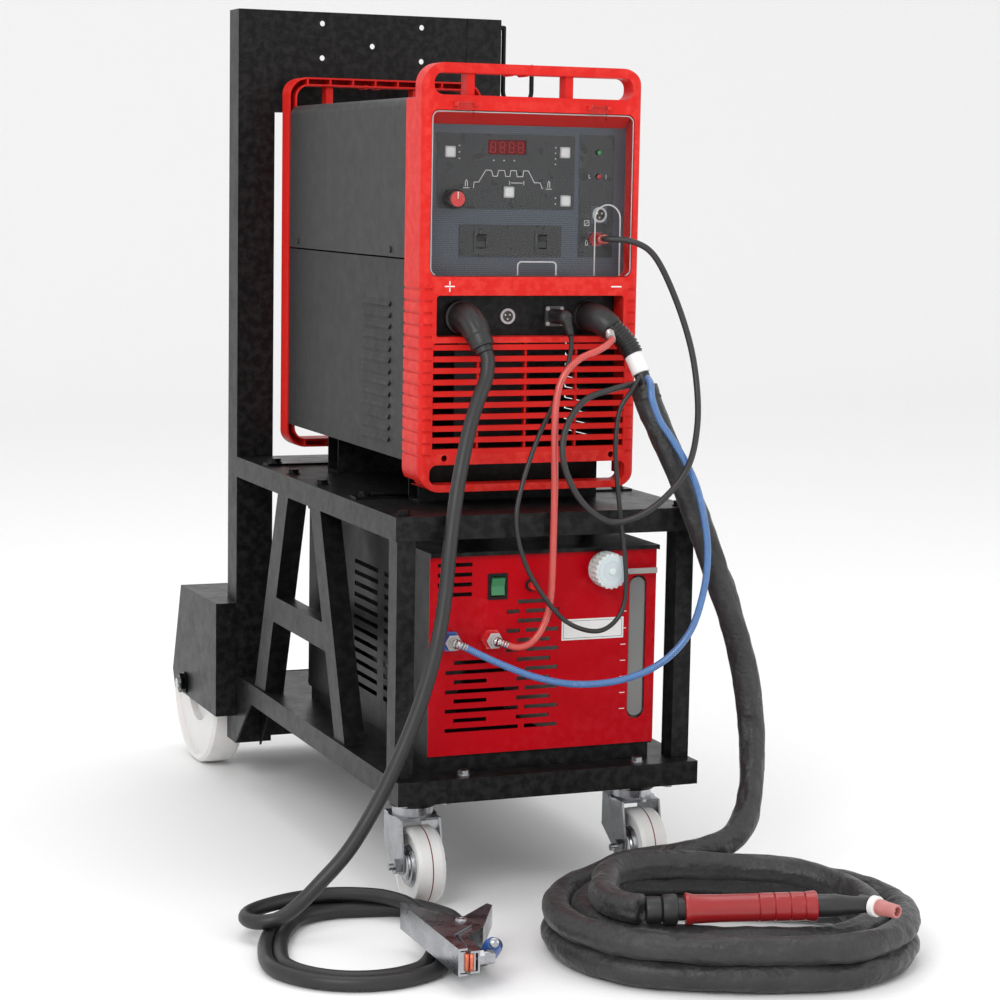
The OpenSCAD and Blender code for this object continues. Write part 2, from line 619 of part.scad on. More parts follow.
function vent_x(i) = i % 2 == 0 ? [[-34.6, 10.6]] : i < 7 ? [[-49.3, -31.6], [-23.4, 21.9]] :
  [[-131, -31.6], [-23.4, 21.9]];
module cooler_panels() color(deep_red) at_mid() {
  difference() {
    box(-153, 157, -475, -473, 191.2, 446.8);
    for (i = [0:vent_rows - 1]) for (s = vent_x(i))
      box(s[0], s[1], -477, -470, 380.5 - 12.3 * i, 380.5 + vent_h - 12.3 * i);
    for (i = [6, 8, 10, 12]) box(-119.5, -75, -477, -470, 380.5 - 12.3 * i, 380.5 + vent_h - 12.3 * i);
    for (z = [393, 405.5, 418, 430.5]) box(-142.8, -96.9, -477, -470, z, z + vent_h);
    box(-74, -51.4, -477, -470, 389, 418.6);
    bar_y(-17.3, -477, -470, 403.8, 12.4);
    bar_y(79, -477, -470, 422, 36);
    in_y(-477, -470) rrect(119.6, 143.8, 223, 410, 12);
    for (x = [-127, -72]) bar_y(x, -477, -470, 338, 18.4);
  }
  for (x = [-153, 155]) box(x, x + 2, -473.2, -472.6, 191.2, 446.8);
  box(26, 112, -475.5, -475, 330, 357);
  bezel_y(-62.7, -475, 403.8, 26.3, 33, 18.6, 25.6, 14);
  box(-73, -52.4, -461, -459, 390, 417.6);
  bar_y(-17.3, -479, -473, 403.8, 16);
  bar_y(-17.3, -486, -478.9, 403.8, 11);
  bar_y(-17.3, -474, -450, 403.8, 12);
  box(-152.8, 156.8, 16, 18, 191.2, 446.8);
  box(-152.8, 156.8, 16, 20, 191.2, 197);
}

module cooler_rocker() color([0.05, 0.55, 0.12])
  rocker(-62.7, -474.6, 403.8, 17.8, 23.6, 3);

module filler_cap() color(white) at_mid() difference() {
  union() {
    bar_y(79, -510, -489, 422, 42);
    for (a = [0:18:342]) translate([79, -490, 422]) rotate([0, a, 0])
      translate([20.5, 0, 0]) rotate([90, 0, 0]) cylinder(d = 5, h = 19, $fn = 16);
  }
  bar_y(79, -506, -480, 422, 34.1);
}

module coolant_tank() color(white) at_mid() {
  difference() {
    box(40, 150, -462, -250, 196, 442);
    box(43, 147, -459, -253, 199, 439);
    bar_y(79, -470, -455, 422, 28);
  }
  difference() {
    union() {
      bar_y(79, -505, -461.9, 422, 34);
      bar_y(79, -488.6, -486.6, 422, 46);
      box(79, 152, -488.6, -486.6, 414, 421);
    }
    bar_y(79, -507, -455, 422, 28);
  }
  in_y(-472.4, -461.9) rrect(121, 142.4, 226, 407, 10.5);
}

module hose_couplings() color(zinc) at_mid() for (x = [-127, -72]) difference() {
  union() {
    hex_y(x, -483, -475, 338, 24);
    bar_y(x, -476, -455, 338, 18);
    hex_y(x, -493, -484, 338, 19);
    bar_y(x, -484.1, -482.9, 338, 15);
    bar_y(x, -499, -492.9, 338, 14);
  }
  bar_y(x, -500, -450, 338, 7);
}

module coolant_pump() color(steel) at_mid() {
  bar_y(-85, -300, -180, 262, 96);
  bar_y(-85, -325, -300.1, 262, 70);
  box(-125, -45, -290, -190, 191.2, 214);
  box(-130, 130, -100, -60, 200, 430);
  difference() {
    box(-110, 110, -59.9, -30, 210, 420);
    bar_y(0, -61, -29, 315, 190);
  }
}

// leads

module rod(p, q, d0, d1) {
  v = q - p;
  translate(p) rotate([0, acos(v[2] / norm(v)), atan2(v[1], v[0])])
    cylinder(d1 = d0, d2 = d1, h = norm(v));
}
module earth_plug() color(rubber) at_mid() {
  bar_y(-86, -392.1, -360, 736, 13);
  bar_y(-86, -424, -392.1, 736, 36);
  translate([-86, -424, 736]) sphere(d = 38);
  rod([-86, -424, 736], [-74.2, -442.9, 700.4], 33, 22);
}
module earth_cable() color(rubber) at_mid() tube(earth_route, 18, [1, 0, 0]);
module ring_coil(c, r, s, inner, h, up) translate(c) rotate([0, 0, up]) difference() {
  linear_extrude(h) stadium(r, s);
  translate([0, 0, -1]) linear_extrude(h + 2) stadium(inner, s);
}
module earth_coil() color(rubber) at_mid() ring_coil([-292, -622, 0.4], 118, 44, 82, 20, 68);

module earth_clamp() color(zinc) at_mid() translate([-14, -66, 21.5]) {
  difference() {
    for (z = [2, 31.5]) in_z(z, z + 2.5) polygon([[-228, -755], [-217, -755], [-214, -702],
      [-180, -672], [-172, -655], [-180, -636], [-204, -606], [-224, -562], [-228, -562]]);
    bar_z(-186, -653, 0, 40, 7.9);
  }
  in_z(2, 34) polygon([[-228, -755], [-225.5, -755], [-225.5, -562], [-228, -562]]);
  bar_z(-186, -653, 1, 35.5, 8);
  box(-225.5, -219, -754, -730, 5.5, 30);
}
module clamp_jaw() color(zinc) at_mid() translate([-14, -66, 21.5]) {
  difference() {
    for (z = [5, 28.5]) in_z(z, z + 2.5) polygon([[-214.5, -758], [-203, -758], [-198, -702],
      [-168, -678], [-124, -596], [-128, -588], [-172, -628], [-200, -640], [-206, -660],
      [-206, -700]]);
    bar_z(-186, -653, 0, 40, 8.1);
  }
  in_z(5, 31) polygon([[-205.5, -758], [-203, -758], [-198, -702], [-168, -678], [-124, -596],
    [-126, -594], [-170.4, -676.6], [-200.2, -700.6]]);
  box(-214.5, -208, -757, -733, 8, 28);
  bar_x(-208, -180, -742, 17, 8);
  hex_x(-200.5, -193, -742, 17, 15);
  bar_x(-193, -188, -742, 17, 16);
  hex_x(-188, -181, -742, 17, 15);
}

module torch_plug() color(rubber) at_mid() {
  bar_y(90, -392.1, -360, 736, 13);
  bar_y(90, -420, -392.1, 736, 35);
  translate([90, -420, 736]) sphere(d = 37);
  rod([90, -420, 736], [116.4, -449.3, 705.2], 33, 27);
  translate([114.5, -447.2, 707.4]) sphere(d = 24);
  rod([115.5, -448.3, 706.3], [132.7, -477.5, 649], 20, 20);
  rod([97, -440, 722], [92, -458, 716], 8, 8);
}
module torch_sleeve() color(rubber) at_mid() tube(torch_route, 33, [1, 0, 0], 12);
module torch_coil() color(rubber) at_mid() ring_coil([126, -765, 0.4], 178, 47, 84, 64, -22);
module torch() color(red) at_mid() translate([24, -848, 84]) rotate([0, -1.6, -19]) {
  rotate([0, 90, 0]) cylinder(d = 33, h = 152);
  translate([-30, 0, 0]) rotate([0, 90, 0]) cylinder(d = 30, h = 30.1);
  translate([151.9, 0, 0]) rotate([0, 90, 0]) cylinder(d1 = 28, d2 = 18, h = 62);
  translate([214, 0, 0]) rotate([0, 90, -20]) {
    translate([0, 0, -4]) cylinder(d = 24, h = 8);
    cylinder(d1 = 19, d2 = 16, h = 30);
  }
}

module switch_plug() color(rubber) at_mid() {
  bar_y(44, -393, -381, 737, 11.8);
  bar_y(44, -424, -393.1, 737, 19);
  translate([44, -424, 737]) sphere(d = 19);
  translate([44, -424, 737]) rotate([138, 0, 0]) cylinder(d1 = 14, d2 = 9, h = 28);
}
module switch_cable() color(rubber) at_mid() tube(switch_route, 6, [1, 0, 0], 8);
module gas_hose() color(rubber) at_mid() tube(gas_route, 8, [0, 0, 1], 8);
module red_hose() color([0.8, 0.2, 0.15]) at_mid() tube(red_route, 9, [0, 1, 0], 8);
module blue_hose() color(blue) at_mid() tube(blue_route, 9, [0, 1, 0], 8);

upper_shelf();
lower_tray();
rear_posts();
back_plate();
cable_hook();
side_frames();
front_posts();
rear_base();
wheel_guards();
rear_axle();
rear_wheel_left();
rear_wheel_right();
caster_plates();
caster_fork_left();
caster_fork_right();
caster_wheel_left();
caster_wheel_right();
frame_bolts();
front_frame();
rear_frame();
top_cover();
side_panels();
base_pan();
rear_panel();
control_panel();
connector_panel();
display();
button_program();
button_mode();
button_menu();
button_wave();
encoder_knob();
rocker_foot();
rocker_water();
panel_lamps();
panel_sockets();
clear_cover();
fan_rotor();
power_module();
cooler_case();
cooler_panels();
cooler_rocker();
filler_cap();
coolant_tank();
hose_couplings();
coolant_pump();
earth_plug();
earth_cable();
earth_coil();
earth_clamp();
clamp_jaw();
torch_plug();
torch_sleeve();
torch_coil();
torch();
switch_plug();
switch_cable();
gas_hose();
red_hose();
blue_hose();
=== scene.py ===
import json
import math

import bmesh
import bpy
from mathutils import Matrix, Vector, noise


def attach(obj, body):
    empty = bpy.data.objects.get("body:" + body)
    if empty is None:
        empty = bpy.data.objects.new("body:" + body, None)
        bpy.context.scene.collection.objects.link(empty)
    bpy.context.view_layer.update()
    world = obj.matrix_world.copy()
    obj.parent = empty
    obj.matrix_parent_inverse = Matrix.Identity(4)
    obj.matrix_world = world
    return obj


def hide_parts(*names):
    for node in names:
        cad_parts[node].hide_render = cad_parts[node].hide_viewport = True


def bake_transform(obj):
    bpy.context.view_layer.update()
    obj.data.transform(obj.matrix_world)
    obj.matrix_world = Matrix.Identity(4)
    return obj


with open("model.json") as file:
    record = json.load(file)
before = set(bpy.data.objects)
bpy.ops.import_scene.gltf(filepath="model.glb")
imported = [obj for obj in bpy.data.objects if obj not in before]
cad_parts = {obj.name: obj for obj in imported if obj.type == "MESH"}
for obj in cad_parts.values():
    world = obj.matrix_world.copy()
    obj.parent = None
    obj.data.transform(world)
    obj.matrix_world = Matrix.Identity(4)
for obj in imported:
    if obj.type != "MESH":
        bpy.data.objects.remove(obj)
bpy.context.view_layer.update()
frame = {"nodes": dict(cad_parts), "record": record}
nodes = frame["nodes"]

X_MID = -10  # the trolley's middle in the row frame, mm
FRONT_Y = -418  # front face of the power source, mm
FILM_Y = -392.8  # the printed films on its control panel
COOLER_Y = -475  # front panel of the cooler
CASTER_X = {"left": -156, "right": 150}  # middle of each front wheel
KEYS = {"program": (-104, 943), "mode": (52, 945), "menu": (-24, 894), "wave": (54, 884)}  # x and z


def at(x, y, z):
    """A point given in millimetres from the trolley's middle plane, as metres in the row frame."""
    return Vector((x + X_MID, y, z)) / 1000


# ---------------------------------------------------------------- camera

def make_camera():
    yaw, pitch, roll = (math.radians(a) for a in (22.06, -7.17, 1.01))
    ahead = Vector((math.sin(yaw) * math.cos(pitch), math.cos(yaw) * math.cos(pitch), math.sin(pitch)))
    right = Vector((math.cos(yaw), -math.sin(yaw), 0))
    up = right.cross(ahead)
    rolled_right = right * math.cos(roll) + up * math.sin(roll)
    rolled_up = up * math.cos(roll) - right * math.sin(roll)
    camera = bpy.data.objects.new("camera", bpy.data.cameras.new("camera"))
    bpy.context.collection.objects.link(camera)
    camera.matrix_world = Matrix((rolled_right, rolled_up, -ahead)).transposed().to_4x4()
    camera.location = (-1.2314, -3.3372, 0.9013)
    camera.data.sensor_width = 36
    camera.data.lens = 89.8
    camera.data.clip_end = 60
    bpy.context.scene.camera = camera


make_camera()


# ---------------------------------------------------------------- mesh helpers

def piece(name, verts, faces, material, body="root", uvs=None):
    mesh = bpy.data.meshes.new(name)
    mesh.from_pydata([tuple(v) for v in verts], [], faces)
    mesh.validate()
    if uvs:
        layer = mesh.uv_layers.new(name="UVMap")
        for loop in mesh.loops:
            layer.data[loop.index].uv = uvs[loop.vertex_index]
    for polygon in mesh.polygons:
        polygon.use_smooth = True
    made = bpy.data.objects.new(name, mesh)
    bpy.context.collection.objects.link(made)
    mesh.materials.append(material)
    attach(made, body)
    return made


def crisp(made, degrees=35):
    """Marks the edges that turn by more than the angle as sharp, in a piece that is smooth elsewhere."""
    limit = math.radians(degrees)
    bm = bmesh.new()
    bm.from_mesh(made.data)
    for edge in bm.edges:
        if len(edge.link_faces) == 2 and edge.calc_face_angle(0) > limit:
            edge.smooth = False
    bm.to_mesh(made.data)
    bm.free()
    return made


def frames_along(path):
    """Two steady directions across a path, at each of its points."""
    tangents = []
    for i in range(len(path)):
        tangents.append((path[min(i + 1, len(path) - 1)] - path[max(i - 1, 0)]).normalized())
    normal = tangents[0].orthogonal().normalized()
    made = []
    for t in tangents:
        normal = (normal - t * normal.dot(t)).normalized()
        made.append((normal, t.cross(normal)))
    return made


def tube_faces(rings, sides):
    """The faces of a closed tube whose vertices lie ring after ring."""
    faces = []
    for i in range(rings - 1):
        for k in range(sides):
            n = (k + 1) % sides
            faces.append((i * sides + k, i * sides + n, (i + 1) * sides + n, (i + 1) * sides + k))
    last = (rings - 1) * sides
    return faces + [tuple(reversed(range(sides))), tuple(range(last, last + sides))]


def swept(name, path, radius, sides, material, body="root"):
    """A closed tube along a path. radius(angle, s) and s, the length so far, are in millimetres."""
    verts, uvs, along = [], [], 0.0
    for i, (point, (a, b)) in enumerate(zip(path, frames_along(path))):
        if i:
            along += (point - path[i - 1]).length * 1000
        for k in range(sides):
            angle = 2 * math.pi * k / sides
            r = radius(angle, along) / 1000
            verts.append(point + (a * math.cos(angle) + b * math.sin(angle)) * r)
            uvs.append((k / sides, along / 1000))
    return piece(name, verts, tube_faces(len(path), sides), material, body, uvs)


def lathe(name, start, direction, profile, material, body="root", sides=64, flute=None):
    """A turned shape. profile is (distance, radius) in millimetres, and flute(angle) scales the radius."""
    direction = direction.normalized()
    a = direction.orthogonal().normalized()
    b = direction.cross(a)
    verts = []
    for along, radius in profile:
        for k in range(sides):
            angle = 2 * math.pi * k / sides
            r = radius * (flute(angle) if flute else 1) / 1000
            verts.append(start + direction * (along / 1000) + (a * math.cos(angle) + b * math.sin(angle)) * r)
    return crisp(piece(name, verts, tube_faces(len(profile), sides), material, body))


def plate(name, x0, x1, z0, z1, y0, y1, corner, material, body="root"):
    """A flat plate with round corners, seen from the front, from depth y0 to y1."""
    outline, steps = [], 6
    for cx, cz, start in ((x1 - corner, z1 - corner, 0), (x0 + corner, z1 - corner, 90),
                          (x0 + corner, z0 + corner, 180), (x1 - corner, z0 + corner, 270)):
        for step in range(steps + 1):
            angle = math.radians(start + 90 * step / steps)
            outline.append((cx + corner * math.cos(angle), cz + corner * math.sin(angle)))
    count = len(outline)
    verts = [at(x, y, z) for y in (y0, y1) for x, z in outline]
    faces = [tuple(range(count)), tuple(reversed(range(count, 2 * count)))]
    faces += [(count + k, count + (k + 1) % count, (k + 1) % count, k) for k in range(count)]
    return crisp(piece(name, verts, faces, material, body))


def stroke(name, lines, width, y, material, body="root", depth=0.12):
    """Printed lines on a front panel: each line is a list of (x, z) points in millimetres."""
    verts, faces, lap = [], [], 0.4 * width
    for line in lines:
        points = [Vector(p) for p in line]
        for p, q in zip(points, points[1:]):
            along = (q - p).normalized()
            side = Vector((-along.y, along.x)) * width / 2
            p, q = p - along * lap, q + along * lap
            base = len(verts)
            for corner in (p - side, q - side, q + side, p + side):
                verts.append(at(corner.x, y, corner.y))
            for corner in (p - side, q - side, q + side, p + side):
                verts.append(at(corner.x, y - depth, corner.y))
            faces += [(base + 4, base + 5, base + 6, base + 7), (base + 3, base + 2, base + 1, base)]
            faces += [(base + k, base + (k + 1) % 4, base + 4 + (k + 1) % 4, base + 4 + k) for k in range(4)]
    return crisp(piece(name, verts, faces, material, body))


def smooth_path(points, step):
    """A smooth curve through the points, sampled at even steps in metres."""
    points = [Vector(p) for p in points]
    ends = [2 * points[0] - points[1]] + points + [2 * points[-1] - points[-2]]
    dense = []
    for p0, p1, p2, p3 in zip(ends, ends[1:], ends[2:], ends[3:]):
        pieces = 24
        for k in range(pieces):
            t = k / pieces
            dense.append(0.5 * ((2 * p1) + (p2 - p0) * t + (2 * p0 - 5 * p1 + 4 * p2 - p3) * t * t
                                + (3 * p1 - p0 - 3 * p2 + p3) * t ** 3))
    dense.append(points[-1])
    total = sum((q - p).length for p, q in zip(dense, dense[1:]))
    count = max(4, round(total / step))
    made, walked, target = [dense[0]], 0.0, total / count
    for p, q in zip(dense, dense[1:]):
        length = (q - p).length
        while length > 0 and walked + length >= target * len(made) and len(made) < count:
            made.append(p.lerp(q, (target * len(made) - walked) / length))
        walked += length
    return made + [dense[-1]]


def ease(t):
    return t * t * (3 - 2 * t)


def ring_point(centre, turn, half, angle, radius, height):
    """A point on a ring with straight sides: arcs about two centres, each half from the middle."""
    spread = 2.2  # how quickly a point passes along the straight sides
    a = Vector((math.cos(math.radians(turn)), math.sin(math.radians(turn))))
    b = Vector((-a.y, a.x))
    c, s = math.cos(math.radians(angle)), math.sin(math.radians(angle))
    middle = Vector(centre) + a * half * max(-1, min(1, spread * c))
    flat = middle + (a * c + b * s) * radius
    return at(flat.x, flat.y, height)


def wound(centre, turn, half, keys, step=12):
    """Coil points: keys are (angle, radius, height) and the turns run between them."""
    made = []
    for (a0, r0, h0), (a1, r1, h1) in zip(keys, keys[1:]):
        count = max(1, round(abs(a1 - a0) / step))
        for k in range(count):
            t = k / count
            made.append(ring_point(centre, turn, half, a0 + (a1 - a0) * t,
                                   r0 + (r1 - r0) * ease(t), h0 + (h1 - h0) * ease(t)))
    made.append(ring_point(centre, turn, half, *keys[-1]))
    return made


# ---------------------------------------------------------------- materials

def scaled(color, k):
    return tuple(c * k for c in color)


class Finish:
    """A node material with tone variation, grain, scuffs, worn edges and a roughness map."""

    def __init__(self, name, color, rough=0.45, metal=0.0, tone=0.1, tone_scale=9, grain=1600,
                 grain_depth=0.05, scuff=0.0, scuff_color=None, edge=0.0, edge_color=None, soft_edge=0.6,
                 rough_spread=0.12):
        self.material = bpy.data.materials.new(name)
        self.material.use_nodes = True
        self.tree = self.material.node_tree
        self.shader = self.tree.nodes["Principled BSDF"]
        self.where = self.node("TexCoord").outputs["Object"]
        clouds = self.ramp(self.noise(tone_scale, 4), 0.3, 0.7, 0, 1)
        self.color = self.mixed(clouds, scaled(color, 1 - tone), scaled(color, 1 + tone))
        self.rough = self.ramp(self.noise(38, 5, 0.65), 0.3, 0.7, max(0.03, rough - rough_spread / 2),
                               min(1, rough + rough_spread / 2))
        if scuff:
            fine = self.ramp(self.noise(140, 6, 0.75), 0.56, 0.7, 0, 1)
            patches = self.ramp(self.noise(12), 0.45, 0.7, 0, scuff)
            self.over(self.math("MULTIPLY", fine, patches), scuff_color)
        if edge:
            worn = self.ramp(self.node("NewGeometry").outputs["Pointiness"], 0.52, 0.6, 0, edge)
            broken = self.ramp(self.noise(90, 4), 0.42, 0.62, 0, 1)
            self.over(self.math("MULTIPLY", worn, broken), edge_color)
        self.height = self.noise(grain)
        self.depth = grain_depth
        self.metal = metal
        self.soft_edge = soft_edge

    def node(self, kind, **inputs):
        """A new node, with its inputs set or linked."""
        made = self.tree.nodes.new("ShaderNode" + kind)
        for name, value in inputs.items():
            self.feed(made.inputs[name.replace("_", " ")], value)
        return made

    def feed(self, socket, value):
        """Sets a socket to a number or a colour, or links it to another socket."""
        if isinstance(value, (int, float)):
            socket.default_value = value
        elif isinstance(value, tuple):
            socket.default_value = (*value, 1)
        else:
            self.tree.links.new(value, socket)

    def math(self, kind, *values):
        made = self.node("Math")
        made.operation = kind
        for socket, value in zip(made.inputs, values):
            self.feed(socket, value)
        return made.outputs[0]

    def noise(self, scale, detail=3, rough=0.55):
        return self.node("TexNoise", Scale=scale, Detail=detail, Roughness=rough,
                         Vector=self.where).outputs["Fac"]

    def ramp(self, value, low, high, to_low, to_high):
        return self.node("MapRange", Value=value, From_Min=low, From_Max=high, To_Min=to_low,
                         To_Max=to_high).outputs["Result"]

    def mixed(self, factor, low, high):
        mix = self.node("Mix")
        mix.data_type = "RGBA"
        for name, value in (("Factor", factor), ("A", low), ("B", high)):
            self.feed(mix.inputs[name], value)
        return mix.outputs["Result"]

    def over(self, amount, color):
        self.color = self.mixed(amount, self.color, color)

    def axes(self):
        """The X, Y and Z of each point, in metres in the row frame."""
        return self.node("SeparateXYZ", Vector=self.where).outputs

    def inside(self, low, high):
        """1 inside a box given in millimetres from the trolley's middle plane, 0 outside."""
        factor = 1
        for value, least, most in zip(self.axes(), at(*low), at(*high)):
            inner = self.math("MULTIPLY", self.math("GREATER_THAN", value, least),
                              self.math("LESS_THAN", value, most))
            factor = self.math("MULTIPLY", factor, inner)
        return factor

    def zone(self, low, high, color):
        self.over(self.inside(low, high), color)

    def disc(self, x, z, radius, color):
        """Colours what lies within a radius of a line along Y."""
        axes, gap = self.axes(), self.node("VectorMath")
        gap.operation = "DISTANCE"
        self.feed(gap.inputs[0], self.node("CombineXYZ", X=axes[0], Z=axes[2]).outputs[0])
        gap.inputs[1].default_value = at(x, 0, z)
        self.over(self.math("LESS_THAN", gap.outputs["Value"], radius / 1000), color)

    def finish(self, **sockets):
        shader = self.shader
        bump = self.node("Bump", Strength=1.0, Distance=self.depth / 1000, Height=self.height)
        self.feed(shader.inputs["Base Color"], self.color)
        self.feed(shader.inputs["Roughness"], self.rough)
        shader.inputs["Metallic"].default_value = self.metal
        if self.soft_edge:
            bevel = self.node("Bevel", Radius=self.soft_edge / 1000)
            bevel.samples = 4
            self.feed(bump.inputs["Normal"], bevel.outputs["Normal"])
        self.feed(shader.inputs["Normal"], bump.outputs["Normal"])
        for name, value in sockets.items():
            shader.inputs[name.replace("_", " ").title().replace("Ior", "IOR")].default_value = value
        return self.material


FAR = 5000  # wider than the object, mm


def black_paint(name="black_powder_coat", color=(0.0045, 0.0045, 0.0048), shine=0.17):
    made = Finish(name, color, 0.36, tone=0.05, grain=1100, grain_depth=0.05,
                  scuff=0.04, scuff_color=(0.02, 0.02, 0.02), edge=0.3, edge_color=(0.04, 0.04, 0.04))
    return made.finish(specular_ior_level=shine)


def red_moulding():
    made = Finish("red_moulding", (0.62, 0.013, 0.0095), 0.42, tone=0.025, grain=2400, grain_depth=0.03,
                  scuff=0.05, scuff_color=(0.62, 0.04, 0.03), edge=0.3, edge_color=(0.82, 0.08, 0.06),
                  soft_edge=0.9)
    return made.finish(specular_ior_level=0.18)


def grey_paint(name="grey_powder_coat", color=(0.024, 0.024, 0.025), painted_louvre_shade=False):
    made = Finish(name, color, 0.5, tone=0.05, grain=2000, grain_depth=0.06,
                  scuff=0.06, scuff_color=(0.06, 0.06, 0.06), edge=0.3, edge_color=(0.08, 0.08, 0.08),
                  soft_edge=1.0)
    if painted_louvre_shade:
        shade_louvres(made)
    return made.finish(specular_ior_level=0.35)


def shade_louvres(made, pitch=14.6, lowest=564.9, tall=5.6, rows=13):
    """Painted shade on the side panels under each louvre's lip, in millimetres."""
    row = made.math("SUBTRACT", made.axes()[2], lowest / 1000)
    row = made.math("FRACT", made.math("DIVIDE", row, pitch / 1000))
    shade = made.ramp(row, 0, tall / pitch, 0.55, 1)
    under = made.math("MULTIPLY", made.math("LESS_THAN", row, tall / pitch), shade)
    panel = made.inside((-147.4, -300, 562), (147.4, -190, 562 + rows * pitch))
    made.over(made.math("MULTIPLY", under, panel), (0.002, 0.002, 0.002))


def lined_panel():
    made = Finish("lined_panel", (0.085, 0.10, 0.125), 0.38, tone=0.05, grain=1500, grain_depth=0.02,
                  soft_edge=0.3)
    pitch = 0.0024
    lines = made.math("SINE", made.math("MULTIPLY", made.axes()[2], 2 * math.pi / pitch))
    made.over(made.ramp(lines, 0.1, 0.6, 0, 0.75), (0.022, 0.026, 0.032))
    return made.finish()


def metal(name, color, rough, tone, **more):
    return Finish(name, color, rough, metal=1.0, tone=tone, tone_scale=30, grain=700, **more)


def zinc(name="zinc_plate", color=(0.40, 0.41, 0.43), rough=0.3):
    return metal(name, color, rough, 0.12, grain_depth=0.04, scuff=0.12, scuff_color=(0.28, 0.28, 0.29),
                 rough_spread=0.2).finish()


def caster_head():
    made = metal("caster_head", (0.40, 0.41, 0.43), 0.32, 0.16, grain_depth=0.04)
    made.zone((-FAR, -FAR, 121.9), (FAR, FAR, 133), (0.03, 0.03, 0.032))
    return made.finish()


def axle_finish():
    made = metal("axle_finish", (0.55, 0.56, 0.58), 0.25, 0.1, grain_depth=0.03)
    for low in (-246.2, 235.9):
        made.zone((low, -FAR, -FAR), (low + 10.3, FAR, FAR), (0.012, 0.012, 0.013))
    return made.finish()


def fasteners():
    made = metal("bolt_finish", (0.45, 0.46, 0.48), 0.32, 0.14, scuff=0.3, scuff_color=(0.2, 0.2, 0.21))
    made.zone((-FAR, -FAR, 300), (FAR, FAR, FAR), (0.02, 0.02, 0.021))
    return made.finish()


def nylon(seam_at=None):
    name = "nylon" if seam_at is None else f"nylon_{round(seam_at)}"
    made = Finish(name, (0.74, 0.73, 0.72), 0.42, tone=0.03, grain=500, grain_depth=0.08,
                  scuff=0.25, scuff_color=(0.5, 0.49, 0.47), soft_edge=1.0)
    if seam_at is not None:
        made.zone((seam_at - 0.8, -FAR, -FAR), (seam_at + 0.8, FAR, FAR), (0.16, 0.015, 0.015))
    return made.finish(subsurface_weight=0.1)


def plain_plastic(name, color, rough=0.4, **extra):
    return Finish(name, color, rough, tone=0.06, grain=1800, grain_depth=0.03, soft_edge=0.4).finish(**extra)


def clear_plastic():
    made = Finish("clear_plastic", (0.97, 0.98, 0.98), 0.04, tone=0.01, grain=60, grain_depth=0.02,
                  rough_spread=0.03, soft_edge=0.3)
    return made.finish(transmission_weight=1.0, ior=1.17)


def edge_bead_painted_highlight():
    # Pale, half-opaque white under a glossy coat: a painted highlight for the clear cover's cut edges.
    made = Finish("edge_bead_painted_highlight", (0.8, 0.8, 0.8), 0.12, tone=0.05, soft_edge=0)
    return made.finish(transmission_weight=0.55, ior=1.45, coat_weight=0.5)


def rubber(name="rubber", color=(0.016, 0.016, 0.017), rough=0.45, dust=0.12):
    made = Finish(name, color, rough, tone=0.15, tone_scale=26, grain=1300, grain_depth=0.05, scuff=dust,
                  scuff_color=(0.06, 0.06, 0.06), soft_edge=0)
    return made.finish()


def sleeve_leather():
    made = Finish("torch_sleeve_skin", (0.021, 0.021, 0.022), 0.48, tone=0.3, tone_scale=16, grain=420,
                  scuff=0.35, scuff_color=(0.07, 0.07, 0.073), soft_edge=0, rough_spread=0.25)
    wrinkles = made.math("MULTIPLY", made.noise(75, 5, 0.6), 0.7)
    creases = made.math("ABSOLUTE", made.math("SUBTRACT", made.noise(24, 3, 0.6), 0.5))
    folds = made.math("ADD", wrinkles, made.math("MULTIPLY", creases, 2.6))
    made.height = made.math("ADD", folds, made.math("MULTIPLY", made.height, 0.06))
    made.depth = 3.0
    return made.finish(sheen_weight=0.1, sheen_roughness=0.4)


def braided(name, skin, thread):
    """Translucent hose with a woven thread inside it, drawn along the hose's own length."""
    strands, pitch = 8, 0.0035
    made = Finish(name, skin, 0.25, tone=0.08, tone_scale=40, soft_edge=0)
    round_it, down_it, _ = made.node("SeparateXYZ", Vector=made.node("TexCoord").outputs["UV"]).outputs
    turn = made.math("MULTIPLY", round_it, 2 * math.pi * strands)
    along = made.math("MULTIPLY", down_it, 2 * math.pi / pitch)
    weave = made.math("MAXIMUM", made.math("SINE", made.math("ADD", turn, along)),
                      made.math("SINE", made.math("SUBTRACT", turn, along)))
    made.over(made.ramp(weave, 0.84, 0.97, 0, 0.42), thread)
    made.height = weave
    made.depth = 0.08
    return made.finish(coat_weight=0.6, coat_roughness=0.1, subsurface_weight=0.1)


def lamps():
    made = Finish("lamp_lenses", (0.015, 0.015, 0.016), 0.3, tone=0.05, soft_edge=0.2)
    made.disc(99.5, 946, 3.4, (0.02, 0.26, 0.07))
    made.disc(99.5, 915.5, 3.4, (0.42, 0.02, 0.015))
    return made.finish(coat_weight=0.6)


def sockets_finish():
    made = Finish("socket_finish", (0.018, 0.018, 0.019), 0.35, tone=0.08, grain=900, grain_depth=0.03,
                  soft_edge=0.3)
    for x, z in ((102, 867), (-21, 737)):
        made.disc(x, z, 10.3, (0.42, 0.42, 0.43))
        made.disc(x, z, 7, (0.012, 0.012, 0.013))
        for turn in (30, 150, 270):
            a = math.radians(turn)
            made.disc(x + 3.6 * math.cos(a), z + 3.6 * math.sin(a), 1.1, (0.62, 0.58, 0.5))
    made.zone((30, -391, 723), (58, -389, 751), (0.05, 0.05, 0.052))
    for x in (34.4, 53.6):
        for z in (727.4, 746.6):
            made.disc(x, z, 2.7, (0.4, 0.4, 0.41))
    made.zone((87, -FAR, 825), (107, -392, 847), (0.42, 0.035, 0.03))
    return made.finish(coat_weight=0.4)


